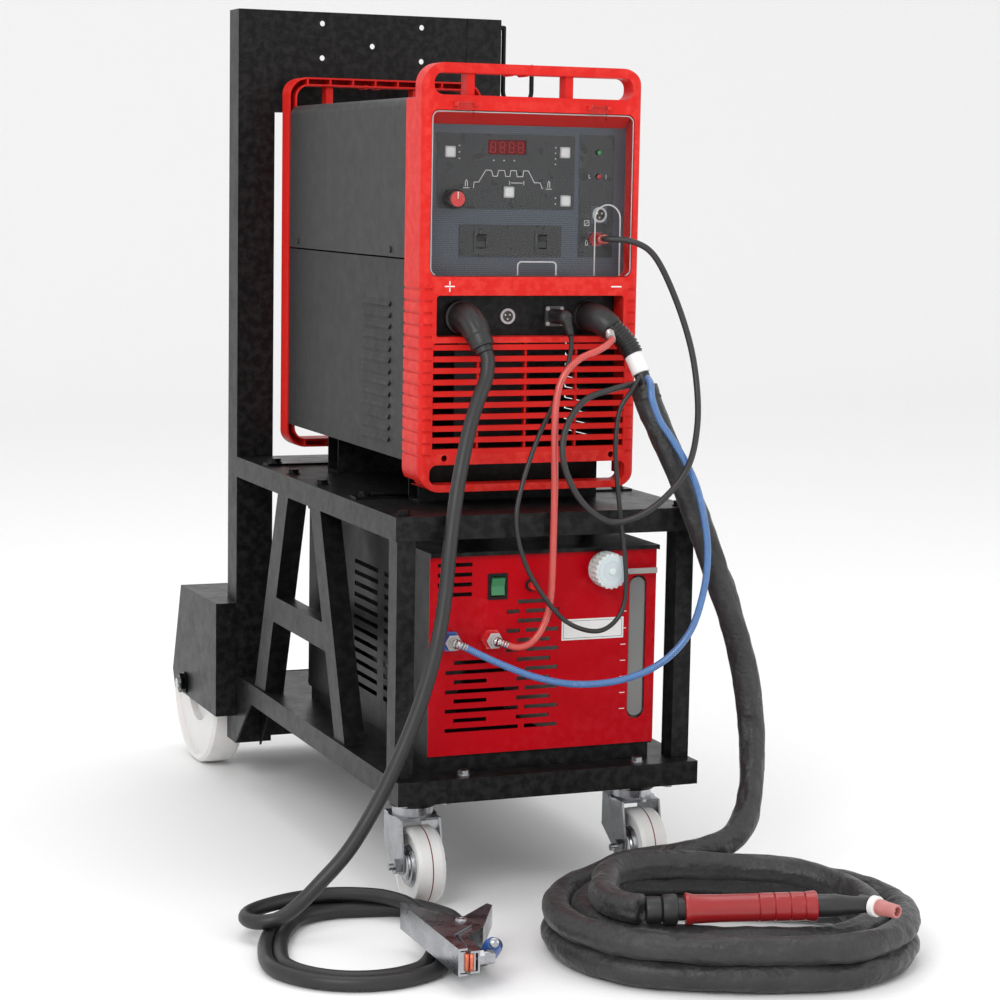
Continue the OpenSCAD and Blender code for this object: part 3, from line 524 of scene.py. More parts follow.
def coupling_finish():
    made = Finish("coupling_finish", (0.42, 0.40, 0.40), 0.28, tone=0.12, tone_scale=40, grain=700,
                  grain_depth=0.03, soft_edge=0.4)
    made.zone((-145, -492, 320), (-105, -470, 356), (0.02, 0.08, 0.30))
    made.zone((-90, -492, 320), (-50, -470, 356), (0.60, 0.02, 0.02))
    return made.finish(coat_weight=0.3)


def tank_finish():
    made = Finish("tank_plastic", (0.55, 0.55, 0.53), 0.4, tone=0.06, grain=500, grain_depth=0.05,
                  soft_edge=0.4)
    made.zone((118, -FAR, 222), (146, -460, 411), (0.19, 0.19, 0.185))
    made.zone((60, -490, 390), (160, -484, 450), (0.3, 0.29, 0.28))
    return made.finish(subsurface_weight=0.2)


def cooler_paint():
    made = Finish("cooler_paint", (0.43, 0.001, 0.006), 0.35, tone=0.03, grain=900, grain_depth=0.03,
                  scuff=0.04, scuff_color=(0.42, 0.008, 0.014), edge=0.3, edge_color=(0.5, 0.02, 0.03))
    front = COOLER_Y - 0.03
    made.zone((-77, -FAR, 386), (-48, front, 421), (0.015, 0.015, 0.016))
    made.zone((-26, -FAR, 394), (-8, front, 413), (0.02, 0.02, 0.021))
    made.zone((-26, -FAR, 394), (-8, -479.1, 413), (0.62, 0.02, 0.016))
    made.zone((25.9, -FAR, 329.9), (112.1, front, 357.1), (0.72, 0.72, 0.71))
    made.zone((-FAR, 10, 180), (FAR, 40, 450), (0.03, 0.03, 0.032))
    return made.finish(specular_ior_level=0.07)


BLACK = black_paint()
RED = red_moulding()
RUBBER = rubber()
ZINC = zinc()
WHITE_INK = plain_plastic("white_ink", (0.78, 0.78, 0.77), 0.5)
DARK_INK = plain_plastic("dark_film", (0.022, 0.022, 0.024), 0.3, coat_weight=0.3)
CERAMIC = plain_plastic("pink_ceramic", (0.48, 0.17, 0.16), 0.35, coat_weight=0.2)
HOSE_METAL = zinc("hose_metal", (0.50, 0.46, 0.46), 0.22)
BLACK_PLASTIC = plain_plastic("black_plastic", (0.02, 0.02, 0.021), 0.38)


def finish_nodes():
    """Gives every CAD node its material."""
    by_slot = {
        "black_frame": BLACK, "axle_steel": axle_finish(), "white_nylon": nylon(),
        "zinc": ZINC, "red_plastic": RED, "grey_sheet": grey_paint(), "panel_paint": lined_panel(),
        "dark_window": plain_plastic("display_window", (0.13, 0.004, 0.006), 0.2, specular_ior_level=0.2),
        "grey_button": plain_plastic("button_cap", (0.46, 0.46, 0.47), 0.45), "black_plastic": BLACK_PLASTIC,
        "lamp_green": lamps(), "clear_plastic": clear_plastic(),
        "inner_metal": zinc("inner_metal", (0.10, 0.10, 0.105), 0.45), "deep_red": cooler_paint(),
        "green_rocker": plain_plastic("green_rocker", (0.01, 0.16, 0.05), 0.15, coat_weight=0.8),
        "milky_plastic": plain_plastic("milky_plastic", (0.66, 0.66, 0.64), 0.35, subsurface_weight=0.3),
        "black_rubber": RUBBER, "torch_red": RED, "red_hose_pvc": RUBBER, "blue_hose_pvc": RUBBER,
    }
    by_node = {
        "frame_bolts": fasteners(), "caster_plates": caster_head(), "panel_sockets": sockets_finish(),
        "hose_couplings": coupling_finish(), "coolant_tank": tank_finish(),
        "caster_wheel_left": nylon(CASTER_X["left"]), "caster_wheel_right": nylon(CASTER_X["right"]),
        # The side panels' paint: darker than the other grey sheet, with painted shade under each louvre's
        # lip.
        "side_panels": grey_paint("side_paint_painted_shade_under_louvres", (0.014, 0.014, 0.0145), painted_louvre_shade=True),
        "cooler_case": black_paint("cooler_case_paint", (0.0045, 0.0045, 0.005), 0.12),
    }
    slots = {entry["node"]: entry["material_slot"] for entry in frame["record"]["subparts"]}
    for name, shown in nodes.items():
        material = by_node.get(name, by_slot[slots[name]])
        for holder in shown.material_slots:
            holder.material = material


finish_nodes()


# ---------------------------------------------------------------- leads and hoses

EARTH_ROUTE = [
    (-74, -444, 699.5), (-71, -450, 687), (-76, -458, 664), (-90, -468, 638), (-106, -480, 602),
    (-126, -498, 540), (-141, -513, 470), (-152, -525, 400), (-168, -536, 335), (-194, -544, 262),
    (-236, -551, 176), (-280, -556, 108), (-322, -558, 65), (-350, -562, 42), (-374, -568, 31),
]
EARTH_TURN_BACK = [
    (-392, -562, 27), (-402, -548, 25), (-404, -531, 24.5), (-396, -514, 25), (-380, -502, 26),
    (-355, -491, 27), (-326, -482, 27.5),
]
EARTH_KEYS = [
    (30, 105, 27.5), (5, 97, 27.5), (-15, 92, 27.5), (-35, 91, 24), (-60, 91, 14), (-85, 91, 9.6),
    (-355, 91, 9.6), (-395, 109, 9.6), (-690, 109, 9.6), (-735, 127, 9.6), (-790, 127, 9.6),
]
EARTH_END = [
    (-160, -628, 9.6), (-170, -672, 9.6), (-178, -712, 10), (-181, -742, 15), (-180, -764, 29),
    (-183, -783, 42), (-191, -797, 48),
]
TORCH_ROUTE = [
    (133, -478, 647.5), (139, -488, 623), (150, -500, 588), (183, -514, 510), (213, -522, 433),
    (238, -527, 365), (256, -532, 300), (263, -540, 240), (261, -554, 184), (250, -574, 142),
    (230, -596, 110), (200, -612, 90), (162, -618, 82.5),
]
TORCH_KEYS = [
    (108, 152, 71), (140, 159, 54), (180, 161, 50), (415, 161, 50), (485, 161, 19), (735, 161, 19),
    (795, 127, 19), (1085, 127, 19), (1145, 127, 50), (1425, 125, 50), (1475, 121, 60), (1520, 116, 71),
    (1565, 110, 77), (1600, 106, 79),
]
TORCH_END = [
    (-14, -712, 79), (-33, -746, 80), (-39, -782, 81), (-34, -810, 82), (-22, -827, 83),
]
GAS_ROUTE = [
    (97, -413, 836), (98, -430, 837), (126, -448, 834), (150, -460, 817), (172, -473, 770),
    (188, -490, 710), (193, -504, 656), (184, -527, 606), (163, -549, 560), (134, -551, 523),
    (98, -543, 496), (62, -530, 489), (28, -520, 516), (9, -511, 560), (14, -502, 602), (42, -494, 637),
    (82, -488, 650), (118, -481, 656),
]
SWITCH_ROUTE = [
    (44, -443.6, 715.2), (40, -454, 698), (28, -464, 668), (9, -472, 630), (-14, -482, 592),
    (-38, -494, 540), (-51, -504, 492), (-44, -511, 445), (-22, -516, 402), (14, -519, 362),
    (58, -521, 349), (88, -520, 372), (95, -516, 420), (88, -508, 500), (84, -500, 570), (90, -495, 622),
    (106, -495, 648), (121, -486, 664),
]
RED_ROUTE = [
    (91.7, -458.9, 715.7), (86, -474, 710), (66, -484, 700), (38, -484, 688), (18, -484, 668),
    (8, -486, 640), (4, -491, 600), (2, -499, 530), (-1, -505, 450), (-4, -507, 390), (-14, -508, 356),
    (-30, -508, 336), (-48, -507, 331), (-66, -504.5, 336.5),
]
BLUE_ROUTE = [
    (132, -486, 664), (130, -501, 657), (128, -510, 640), (137, -515, 613), (151, -524, 589),
    (165, -534, 562), (178, -544, 528), (188, -550, 480), (191, -552, 440), (186, -552, 395),
    (170, -548, 345), (136, -541, 308), (86, -532, 287), (28, -524, 283), (-24, -516, 293),
    (-76, -508, 314), (-121, -504.5, 336.5),
]
EARTH_D, TORCH_D, GAS_D, SWITCH_D, COOLANT_D = 18, 33, 8, 6, 9
# A ring is its centre, how far its long way is turned in degrees, and half its straight length.
EARTH_RING = ((-292, -622), 68, 44)
TORCH_RING = ((126, -765), -22, 47)


def placed(route):
    return [at(*p) for p in route]


def even_radius(diameter, ripple=0.0):
    def radius(angle, s):
        return diameter / 2 * (1 + ripple * noise.noise(Vector((math.cos(angle), math.sin(angle), s / 60))))
    return radius


def sleeve_radius(angle, s):
    """A loose skin over the cables in it: soft lumps, and creases across it where it bends."""
    c, d = math.cos(angle), math.sin(angle)
    lumps = noise.noise(Vector((c * 1.2, d * 1.2, s / 70))) * 0.13
    ridge = 1 - 2.6 * abs(noise.noise(Vector((c * 1.1 + 4, d * 1.1, s / 34))))
    folds = ridge * 0.035 + noise.noise(Vector((c * 2, d * 2, s / 15))) * 0.035
    dents = -0.16 * max(0.0, noise.noise(Vector((c * 1.7 + 9, d * 1.7, s / 26))) - 0.12)
    return TORCH_D / 2 * (1.0 + lumps + folds + dents)


def make_earth_lead():
    """The earth lead, whose last stretch ends at the clamp's jaw. It has no parent, and its placement is
    baked into its mesh.
    """
    points = placed(EARTH_ROUTE + EARTH_TURN_BACK) + wound(*EARTH_RING, EARTH_KEYS) + placed(EARTH_END)
    path = smooth_path(points, 0.007)
    made = swept("earth_lead", path, even_radius(EARTH_D, 0.012), 24, RUBBER)
    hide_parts("earth_cable", "earth_coil")
    made.parent = None
    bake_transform(made)
    return made, path


def make_torch_lead():
    points = placed(TORCH_ROUTE) + wound(*TORCH_RING, TORCH_KEYS) + placed(TORCH_END)
    path = smooth_path(points, 0.0055)
    made = swept("torch_lead", path, sleeve_radius, 36, sleeve_leather())
    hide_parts("torch_sleeve", "torch_coil")
    return made, path


def make_hose(name, node, route, diameter, material, sides=16):
    path = smooth_path(placed(route), 0.004)
    made = swept(name, path, even_radius(diameter), sides, material)
    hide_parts(node)
    return made, path


earth_lead, earth_path = make_earth_lead()
torch_lead, torch_path = make_torch_lead()
gas_line, gas_path = make_hose(
    "gas_line", "gas_hose", GAS_ROUTE, GAS_D, rubber("gas_rubber", (0.018, 0.018, 0.019), 0.42))
switch_line, switch_path = make_hose(
    "switch_line", "switch_cable", SWITCH_ROUTE, SWITCH_D,
    rubber("switch_rubber", (0.014, 0.014, 0.015), 0.35))
red_line, red_path = make_hose(
    "red_line", "red_hose", RED_ROUTE, COOLANT_D,
    braided("red_braid", (0.48, 0.022, 0.016), (0.78, 0.34, 0.30)), 24)
blue_line, blue_path = make_hose(
    "blue_line", "blue_hose", BLUE_ROUTE, COOLANT_D,
    braided("blue_braid", (0.022, 0.12, 0.34), (0.34, 0.50, 0.70)), 24)


# ---------------------------------------------------------------- plugs and boots

RIB_HEIGHT = 0.9  # mm


def ribbed(sizes, ribs_from=0, ribs_to=0, pitch=1):
    """Radius of a boot: sizes are (distance, radius) and shallow ribs run over one stretch of it."""
    def radius(angle, s):
        for (s0, r0), (s1, r1) in zip(sizes, sizes[1:]):
            if s <= s1:
                r = r0 + (r1 - r0) * (s - s0) / max(1e-6, s1 - s0)
                break
        else:
            r = sizes[-1][1]
        if ribs_from < s < ribs_to:
            r += RIB_HEIGHT * math.cos(2 * math.pi * s / pitch)
        return r
    return radius


def make_earth_boot():
    """A swept plug body with long grip flutes and a thick collar where the lead leaves it."""
    path = smooth_path(placed([(-86, -390, 736), (-86, -402, 736), (-85.5, -414, 735.5), (-83, -426, 729),
                               (-79.5, -435.5, 717), (-75.5, -442.5, 703), (-73.6, -446, 695)]), 0.0008)

    rim_end, groove_end, grip_end, collar_end = 7, 9, 56, 72

    def radius(angle, s):
        if s < rim_end:
            return 21.5
        if s < groove_end:
            return 18.5
        if s < grip_end:
            flute = 0.9 * max(0.0, math.cos(10 * angle)) if 14 < s < 52 else 0
            return 19.6 - 3.2 * ((s - groove_end) / (grip_end - groove_end)) ** 2 - flute
        if s < collar_end:
            return 15.2 - 0.5 * (s > collar_end - 2)
        return 11.2
    made = swept("earth_boot", path, radius, 60, RUBBER)
    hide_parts("earth_plug")
    return crisp(made, 50)


def make_torch_boot():
    """A smooth plug cover, a glossy ribbed bend sleeve, a white tape band and the thin neck of the lead."""
    gloss = rubber("ribbed_gloss", (0.010, 0.010, 0.011), 0.22, 0.1)
    cover = smooth_path(placed([(90, -390, 736), (90, -404, 736.5), (91.5, -418, 735.5), (97, -430, 730),
                                (103.5, -437.5, 723)]), 0.0008)
    sizes = [(0, 20.5), (5, 20.5), (6, 18.8), (34, 18.4), (52, 16.6), (56, 15)]
    made = swept("torch_boot", cover, ribbed(sizes), 44, RUBBER)
    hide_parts("torch_plug")
    bend = placed([(98, -431, 729), (104, -437.5, 723.5), (112, -444.5, 715), (119.5, -451.5, 704),
                   (125, -458.5, 691)])
    sleeve = swept("bend_sleeve", smooth_path(bend, 0.0007), ribbed([(0, 14.2), (60, 12.6)], 2, 58, 4.4), 40,
                   gloss)
    neck = placed([(123, -456, 696), (127, -462, 684), (130.5, -468.5, 671), (132.8, -474, 659),
                   (134, -478.6, 646)])
    core = swept("torch_neck", smooth_path(neck, 0.001), ribbed([(0, 9.8), (200, 9.6)]), 32, RUBBER)
    tape = smooth_path(placed([(124.6, -458.6, 691), (128.6, -465, 678), (131.2, -470, 668)]), 0.002)
    wrap = swept("white_tape", tape,
                 lambda angle, s: 11.6 + 0.3 * noise.noise(Vector((angle * 2, s / 6, 3))),
                 32, plain_plastic("tape_white", (0.8, 0.8, 0.79), 0.55))
    mouth = smooth_path(placed([(133.4, -476.6, 652), (134.2, -479, 645), (136.2, -483, 635)]), 0.002)
    cuff = swept("sleeve_cuff", mouth,
                 lambda angle, s: 16.8 + 0.9 * noise.noise(Vector((angle * 1.5, s / 5, 1))),
                 36, torch_lead.data.materials[0])
    return [made, sleeve, core, wrap, cuff]


def make_switch_boot():
    path = smooth_path(placed([(44, -424, 736), (44, -432, 730), (44, -438, 722), (44, -443.4, 715.6)]),
                       0.0008)
    sizes = [(0, 7), (6, 6.6), (24, 4.4), (30, 4.2)]
    return swept("switch_boot", path, ribbed(sizes, 5, 22, 3.0), 28, RUBBER)


def ferrule(name, route, radius, material=HOSE_METAL):
    """A pressed hose end with rolled edges and barbs."""
    path = smooth_path(placed(route), 0.0006)
    return swept(name, path, ribbed([(0, radius)], 1, 100, 3.4), 24, material)


earth_boot = make_earth_boot()
torch_boot_pieces = make_torch_boot()
switch_boot = make_switch_boot()
red_ferrule = ferrule("red_ferrule", [(95, -449, 719), (90.5, -462, 714), (87.5, -470, 711.5)], 5.6)
red_tail = ferrule("red_tail", [(-72, -496, 338), (-71.2, -500, 337.9), (-68.5, -503, 337.2),
                                (-60, -505.5, 334)], 5.4)
blue_tail = ferrule("blue_tail", [(-127, -496, 338), (-126, -500, 337.9), (-123, -503, 337.2),
                                  (-114, -505, 334)], 5.4)
gas_barb = ferrule("gas_barb", [(97, -400, 836), (97, -414, 836), (98, -426, 837)], 5.2,
                   plain_plastic("red_barb", (0.42, 0.07, 0.06), 0.18, coat_weight=0.9))


# ---------------------------------------------------------------- torch

def make_torch():
    """The torch on its coil: tail, handle with four grooves, neck, and the nozzle that points ahead."""
    start, turn = at(24, -848, 84), math.radians(19)
    along = Vector((math.cos(turn), -math.sin(turn), 0.028)).normalized()
    red = Finish("torch_handle_red", (0.30, 0.010, 0.012), 0.34, tone=0.1, grain=700, grain_depth=0.08,
                 scuff=0.2, scuff_color=(0.42, 0.06, 0.05), soft_edge=0).finish(coat_weight=0.25)
    boot = lathe("torch_tail", start - along * 0.044, along,
                 [(0, 15.2), (3, 16), (16, 15.4), (18, 13.6), (19, 17.0), (21, 17.8), (33, 17.8), (35, 16.6),
                  (36, 13), (44, 12.6)], RUBBER)
    profile = [(0, 15.5), (0.8, 18), (3, 18.4), (6, 17.6), (10, 16.4), (40, 15.6), (80, 15.8)]
    for g in (84, 102, 120, 137):
        profile += [(g, 16.1), (g + 1.2, 15.2), (g + 2.4, 16.3)]
    profile += [(148, 17.2), (151, 17.2), (152.4, 15.6)]
    handle = lathe("torch_handle", start, along, profile, red,
                   flute=lambda angle: 1 + 0.045 * math.cos(2 * angle))
    head = lathe("torch_head", start + along * 0.152, along,
                 [(0, 12.8), (3, 13.4), (22, 13.2), (26, 12.4), (40, 10.4), (60, 9.2), (64, 9)],
                 BLACK_PLASTIC)
    aim = Vector((0.34, -0.94, 0.03)).normalized()
    neck = start + along * 0.213
    cap = lathe("torch_cap", neck - aim * 0.016, aim, [(0, 7), (2, 9), (16, 9.6), (22, 9.6)], BLACK_PLASTIC)
    gasket = lathe("torch_gasket", neck + aim * 0.005, aim, [(0, 10.5), (1, 12), (8, 12), (9, 10.5)],
                   plain_plastic("gasket_white", (0.8, 0.8, 0.78), 0.4))
    nozzle = lathe("torch_nozzle", neck + aim * 0.0135, aim,
                   [(0, 8.6), (3, 9.6), (8, 9.4), (9, 8.8), (20, 8.2), (27, 7.9), (28.4, 7.2), (28.4, 5.4),
                    (16, 4.6), (16, 1.6), (25, 1.2)], CERAMIC)
    for made in (boot, handle):
        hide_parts("torch")
    return [boot, handle, head, cap, gasket, nozzle]


torch_pieces = make_torch()


# ---------------------------------------------------------------- earth clamp

CLAMP = Vector((-14, -66, 21.5))  # where the clamp lies, mm


def clamp_at(x, y, z):
    return at(x + CLAMP.x, y + CLAMP.y, z + CLAMP.z)


def make_clamp():
    """The clamp's rivet, the copper braid in both jaws, and the boot and lug on the lead's end."""
    copper = Finish("copper_braid", (0.62, 0.17, 0.10), 0.35, metal=0.8, tone=0.2, tone_scale=120, grain=260,
                    grain_depth=0.6, soft_edge=0).finish()
    blue = plain_plastic("blue_boot", (0.02, 0.09, 0.33), 0.35)
    rivet = lathe("clamp_rivet", clamp_at(-186, -653, 34), Vector((0, 0, 1)),
                  [(0, 7), (1, 7), (2.2, 6), (3, 3.5), (3.1, 2.4), (2.4, 2.2)], ZINC)
    for strip, x, y_far, body in ((1, -219, -757, "root"), (2, -213.6, -758, "clamp_jaw")):
        verts, faces, rows = [], [], 24
        for i in range(rows + 1):
            y = y_far + 26 * i / rows
            puff = 0.9 * math.sin(math.pi * i / rows) + 0.25 * math.sin(i * 1.9)
            for x_side in (x - 1.2 - puff * 0.3, x + 3.2 + puff * 0.3):
                for z in (7.6, 14, 21, 27.8):
                    verts.append(clamp_at(x_side + 0.2 * math.sin(z + i), y, z))
        for i in range(rows):
            for k in range(3):
                for side in (0, 4):
                    a = i * 8 + side + k
                    quad = (a, a + 1, a + 9, a + 8)
                    faces.append(quad if side else tuple(reversed(quad)))
            for low, high in ((0, 4), (3, 7)):
                a, b = i * 8 + low, i * 8 + high
                quad = (a, b, b + 8, a + 8)
                faces.append(tuple(reversed(quad)) if low else quad)
        faces += [(0, 1, 2, 3, 7, 6, 5, 4), tuple(rows * 8 + k for k in (4, 5, 6, 7, 3, 2, 1, 0))]
        piece(f"copper_braid_{strip}", verts, faces, copper, body)
    end = earth_path[-1]
    toward = (end - earth_path[-8]).normalized()
    boot = lathe("blue_boot", end - toward * 0.030, toward,
                 [(0, 10.2), (2, 10.8), (22, 10.6), (34, 8.6), (38, 7)], blue, "clamp_jaw")
    lug = lathe("cable_lug", end + toward * 0.004, toward, [(0, 5.6), (10, 5.6), (11, 5.2), (13, 2)],
                ZINC, "clamp_jaw")
    return [rivet, boot, lug]


clamp_pieces = make_clamp()


# ---------------------------------------------------------------- panel details

def white_lines(name, lines, width, y, body="root"):
    return stroke(name, lines, width, y, WHITE_INK, body)


def make_knob():
    front, flutes = Vector((0, -1, 0)), 16
    skirt = lathe("knob_body", at(-100, -393.6, 884.5), front,
                  [(0, 12.2), (0.6, 12.5), (14, 12.1), (17, 11.6), (18, 10.6), (18.2, 9.4)], BLACK_PLASTIC,
                  "encoder_knob", 96,
                  lambda angle: 1 - 0.035 * (math.sin(flutes * angle) > 0.2))
    lathe("knob_cap", at(-100, -411.4, 884.5), front, [(0, 9.6), (0.9, 9.6), (1.5, 9.1), (1.6, 8)],
          plain_plastic("knob_red", (0.62, 0.03, 0.025), 0.3, coat_weight=0.5), "encoder_knob")
    white_lines("knob_line", [[(-100, 885.5), (-100, 893)]], 1.4, -413.0, "encoder_knob")
    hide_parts("encoder_knob")


def make_overlays():
    """Dark printed films on the panel, with plain line drawings."""
    margin, thick, ink_y = 0.6, 0.12, FILM_Y - 0.1
    for name, x0, x1, z0, z1 in (("film_main", -121, 67, 872, 967), ("film_right", 73, 122, 812, 969),
                                 ("film_low", -90, 50.5, 812, 853)):
        made = plate(name, x0 + margin, x1 - margin, z0 + margin, z1 - margin, FILM_Y - thick, FILM_Y, 2,
                     DARK_INK)
        cut_openings(made, x0, x1, z0, z1)
    cycle = [[(-72, 898.5), (-71, 906), (-65, 906), (-55.5, 921), (-48, 921), (-45.5, 913.6), (-40, 913.6),
              (-38, 921), (-30, 921), (-28.5, 913.6), (-22.6, 913.6), (-21.6, 921), (-14, 921),
              (-12.8, 913.6), (-5, 913.6), (-4.2, 921), (2.5, 921), (11, 906.3), (19, 906.3), (22, 898.8)],
             [(-21, 905.6), (-5.5, 905.6)], [(-23, 903.4), (-23, 907.8)], [(-3.5, 903.4), (-3.5, 907.8)]]
    for x in (-81.5, 31):
        cycle += [[(x - 4, 898.6), (x + 4, 898.6)],
                  [(x - 1.4, 900.6), (x - 1.4, 906), (x, 908.6), (x + 1.4, 906), (x + 1.4, 900.6)]]
    white_lines("cycle_drawing", cycle, 0.75, ink_y)
    dots = [(-91.5, z) for z in (951, 943, 935)] + [(39.5, z) for z in (951, 944, 937, 930)]
    dots += [(x, 933.5) for x in (-45, -31, -17)] + [(40.5, 887.5), (40.5, 880)]
    dots = [[(x - 0.3, z), (x + 0.3, z)] for x, z in dots]
    white_lines("mark_dots", dots, 1.3, ink_y)
    side = [[(81.5, 853), (88, 853), (88, 859.5), (81.5, 859.5), (81.5, 853)], [(83, 854.5), (86.5, 858)],
            [(86.5, 917.5), (86.5, 913.5), (88.5, 913.5)], [(110.5, 918), (110.5, 912.5)],
            [(83.6, 828), (83.6, 832.6), (85, 835), (86.4, 832.6), (86.4, 828), (83.6, 828)]]
    white_lines("side_marks", side, 0.7, ink_y)


def make_key_faces():
    """A pale printed square on each push button."""
    face, half = plain_plastic("key_print", (0.66, 0.66, 0.65), 0.5), 5.2
    for name, (x, z) in KEYS.items():
        plate(f"key_face_{name}", x - half, x + half, z - half, z + half, -395.2, -395.02, 3, face,
              f"button_{name}")


def make_display_digits():
    """Four unlit seven-segment digits, all strokes alike."""
    lines = []
    for middle in (-46, -33.4, -20.8, -8.2):
        x0, x1 = middle - 3.2, middle + 3.2
        for z in (943.6, 950, 956.4):
            lines.append([(x0 + 0.9, z), (x1 - 0.9, z)])
        for x in (x0, x1):
            lines += [[(x, 944.5), (x, 949.1)], [(x, 950.9), (x, 955.5)]]
    segments = plain_plastic("display_segments", (0.36, 0.016, 0.016), 0.4)
    stroke("display_digits", lines, 1.0, -392.62, segments)


# Openings in the films, each as its lowest and highest x, then its lowest and highest z, in millimetres.
HOLES = [(-53, -1, 941, 959)] + [(x - 10.5, x + 10.5, 818, 846) for x in (-60.5, 23)]
HOLES += [(x - 7.3, x + 7.3, z - 7.3, z + 7.3) for x, z in KEYS.values()]
HOLES += [(-106, -94, 878.5, 890.5), (94.5, 104.5, 941, 951), (94.5, 104.5, 910.5, 920.5),
          (91, 113, 856, 878), (87, 107, 826, 846)]


def cut_openings(made, x0, x1, z0, z1):
    """Cuts the openings for keys, lamps and sockets out of a film."""
    inside = [h for h in HOLES if h[0] > x0 and h[1] < x1 and h[2] > z0 and h[3] < z1]
    verts, faces = [], []
    for hx0, hx1, hz0, hz1 in inside:
        base = len(verts)
        corners = ((hx0, hz0), (hx1, hz0), (hx1, hz1), (hx0, hz1))
        verts += [at(x, y, z) for y in (-394, -391) for x, z in corners]
        faces += [tuple(base + k for k in f) for f in ((0, 1, 2, 3), (7, 6, 5, 4), (4, 5, 1, 0), (5, 6, 2, 1),
                                                       (6, 7, 3, 2), (7, 4, 0, 3))]
    mesh = bpy.data.meshes.new("cutter")
    mesh.from_pydata([tuple(v) for v in verts], [], faces)
    cutter = bpy.data.objects.new("cutter", mesh)
    bpy.context.collection.objects.link(cutter)
    cut = made.modifiers.new("openings", "BOOLEAN")
    cut.operation = "DIFFERENCE"
    cut.solver = "EXACT"
    cut.object = cutter
    bpy.context.view_layer.update()
    cut_mesh = bpy.data.meshes.new_from_object(made.evaluated_get(bpy.context.evaluated_depsgraph_get()))
    made.modifiers.clear()
    made.data = cut_mesh
    bpy.data.objects.remove(cutter, do_unlink=True)


def make_marks():
    """The plus and the minus by the weld sockets, the level marks, and the frame of the blank plate."""
    y = FRONT_Y + 0.02
    plus = [[(-117, 776), (-105, 776)], [(-111, 770), (-111, 773.8)], [(-111, 778.2), (-111, 782)]]
    white_lines("plus_mark", plus, 1.6, y)
    white_lines("minus_mark", [[(111, 776), (124, 776)]], 1.8, y)
    ticks = [[(109, z), (115.5, z)] for z in (364, 342, 321, 300, 279, 258, 237)]
    white_lines("level_ticks", ticks, 1.0, COOLER_Y)
    border = [[(28.5, 332.5), (109.5, 332.5), (109.5, 354.5), (28.5, 354.5), (28.5, 332.5)]]
    stroke("label_frame", border, 0.5, COOLER_Y - 0.48, DARK_INK)


def make_cap_boss():
    """The stepped middle of the filler cap."""
    lathe("cap_boss", at(79, -509.9, 422), Vector((0, -1, 0)),
          [(0, 18.5), (0.8, 18.3), (0.9, 13), (0.4, 12.6), (0.5, 5), (2.4, 4.4), (2.8, 3), (2.8, 1)],
          plain_plastic("cap_white", (0.7, 0.7, 0.68), 0.3, subsurface_weight=0.3),
          "filler_cap")


def arc(x, z, radius, start, stop, steps=10):
    angles = [math.radians(start + (stop - start) * k / steps) for k in range(steps + 1)]
    return [(x + radius * math.cos(a), z + radius * math.sin(a)) for a in angles]


def make_cover_edges():
    """Thin beads along the cut edges of the clear cover, pale and half clear: a painted highlight on those
    edges.
    """
    edge = edge_bead_painted_highlight()
    slot = [(86, 790)] + arc(103.5, 862.5, 17.5, 180, 0, 16) + [(121, 790)]
    rim = [(131, 789.8)] + arc(127.3, 798.7, 9, 290, 360) + arc(127.3, 983.3, 9, 0, 90)
    rim += arc(-127.3, 983.3, 9, 90, 180) + arc(-127.3, 798.7, 9, 180, 250) + [(-131, 789.8)]
    tab = [(-19.6, 790)] + arc(-14.6, 802, 5, 180, 90, 6) + arc(28, 802, 5, 90, 0, 6) + [(33, 790)]
    for name, outline, bead in (("slot_edge", slot, 2.2), ("cover_rim", rim, 1.6), ("tab_edge", tab, 2.2)):
        path = [at(x, -416.9, z) for x, z in outline]
        swept(name, path, even_radius(bead), 8, edge, "clear_cover")


def make_window_hood():
    """The sloping top of the window recess, from the frame's front edge down to the panel."""
    profile, half = [(-413.5, 992.5), (-413.5, 991), (-393.4, 977.5), (-393.4, 992.5)], 134.5
    verts = [at(x, y, z) for x in (-half, half) for y, z in profile]
    faces = [(0, 1, 2, 3), (7, 6, 5, 4)] + [(k, k + 4, (k + 1) % 4 + 4, (k + 1) % 4) for k in range(4)]
    crisp(piece("window_hood", verts, faces, RED))


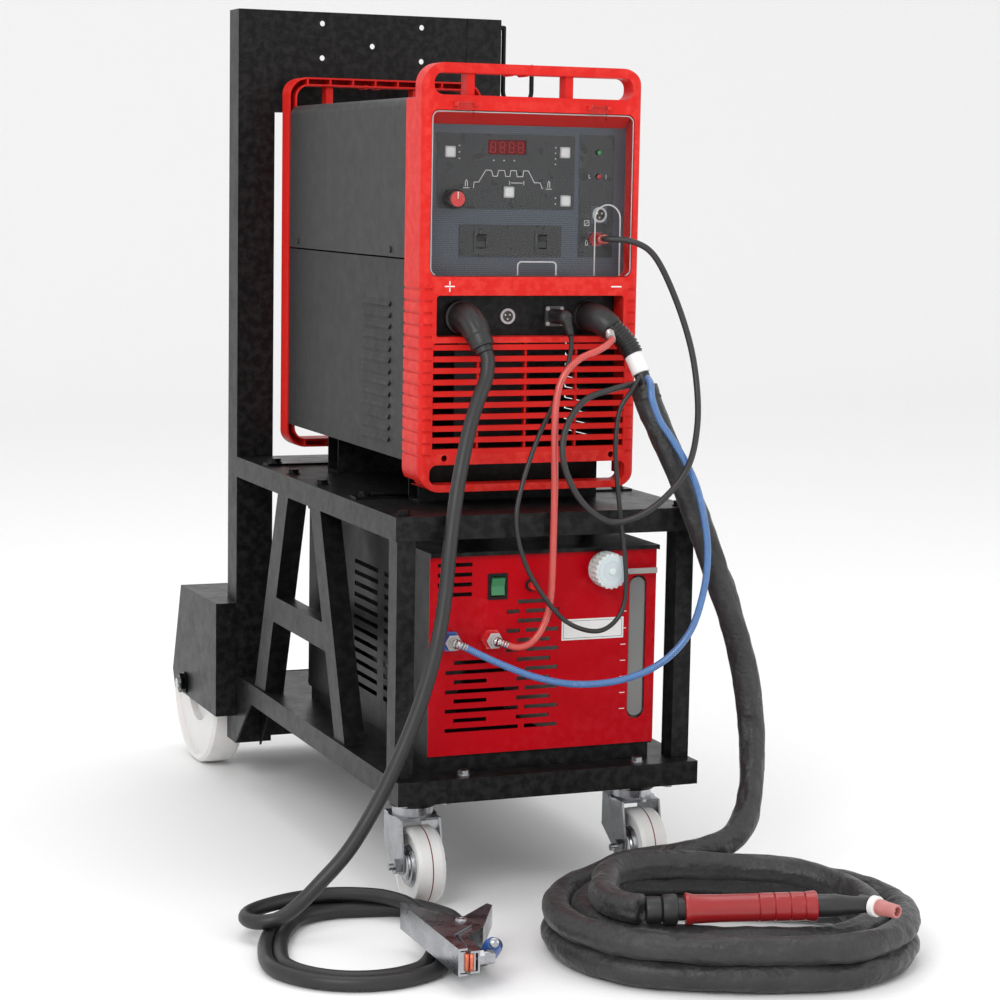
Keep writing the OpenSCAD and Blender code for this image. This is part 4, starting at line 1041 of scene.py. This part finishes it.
def make_bearing_covers():
    """Pressed bearing covers on both faces of each front caster wheel."""
    profile = [(0, 27), (1.4, 27), (2.2, 25.4), (4.6, 24.6), (5.4, 22), (4.6, 18.4), (6.4, 17.4), (6.8, 15.3)]
    for side, x in CASTER_X.items():
        for way, face in ((-1, "outer"), (1, "inner")):
            lathe(f"bearing_cover_{side}_{face}", at(x + way * 14, -460, 50), Vector((way, 0, 0)), profile,
                  ZINC, f"caster_wheel_{side}", 48)


make_knob()
make_key_faces()
make_display_digits()
make_cover_edges()
make_window_hood()
make_bearing_covers()
make_overlays()
make_marks()
make_cap_boss()


# ---------------------------------------------------------------- room

def make_room():
    """A white sweep: the floor runs back and curves up into a wall."""
    back, bend, angles = 6, 3, [math.radians(a) for a in range(6, 91, 6)]
    rows = [(-14, 0), (back, 0)] + [(back + bend * math.sin(a), bend - bend * math.cos(a)) for a in angles]
    rows.append((back + bend, 14))
    verts = [(x, y, z) for y, z in rows for x in (-16, 16)]
    mesh = bpy.data.meshes.new("floor")
    mesh.from_pydata(verts, [], [(2 * k, 2 * k + 1, 2 * k + 3, 2 * k + 2) for k in range(len(rows) - 1)])
    for polygon in mesh.polygons:
        polygon.use_smooth = True
    floor = bpy.data.objects.new("floor", mesh)
    bpy.context.collection.objects.link(floor)
    pale = bpy.data.materials.new("floor_pale")
    pale.use_nodes = True
    shader = pale.node_tree.nodes["Principled BSDF"]
    shader.inputs["Base Color"].default_value = (0.92, 0.92, 0.92, 1)
    shader.inputs["Roughness"].default_value = 0.7
    shader.inputs["Specular IOR Level"].default_value = 0.2
    mesh.materials.append(pale)
    bpy.context.scene.view_settings.view_transform = "Standard"
    world = bpy.data.worlds.new("studio")
    bpy.context.scene.world = world
    world.use_nodes = True
    world.node_tree.nodes["Background"].inputs["Color"].default_value = (1, 1, 1, 1)
    world.node_tree.nodes["Background"].inputs["Strength"].default_value = 0.95
    for name, place, power, size in (("key", (-2.4, -3.0, 2.6), 55, 1.6), ("fill", (2.6, -2.8, 1.8), 14, 2.0),
                                     ("top", (0.2, 0.4, 3.6), 30, 2.4)):
        light = bpy.data.objects.new(name, bpy.data.lights.new(name, "AREA"))
        bpy.context.collection.objects.link(light)
        light.data.energy = power
        light.data.size = size
        light.location = place
        light.rotation_euler = (Vector((0, 0, 0.55)) - Vector(place)).to_track_quat("-Z", "Y").to_euler()


make_room()
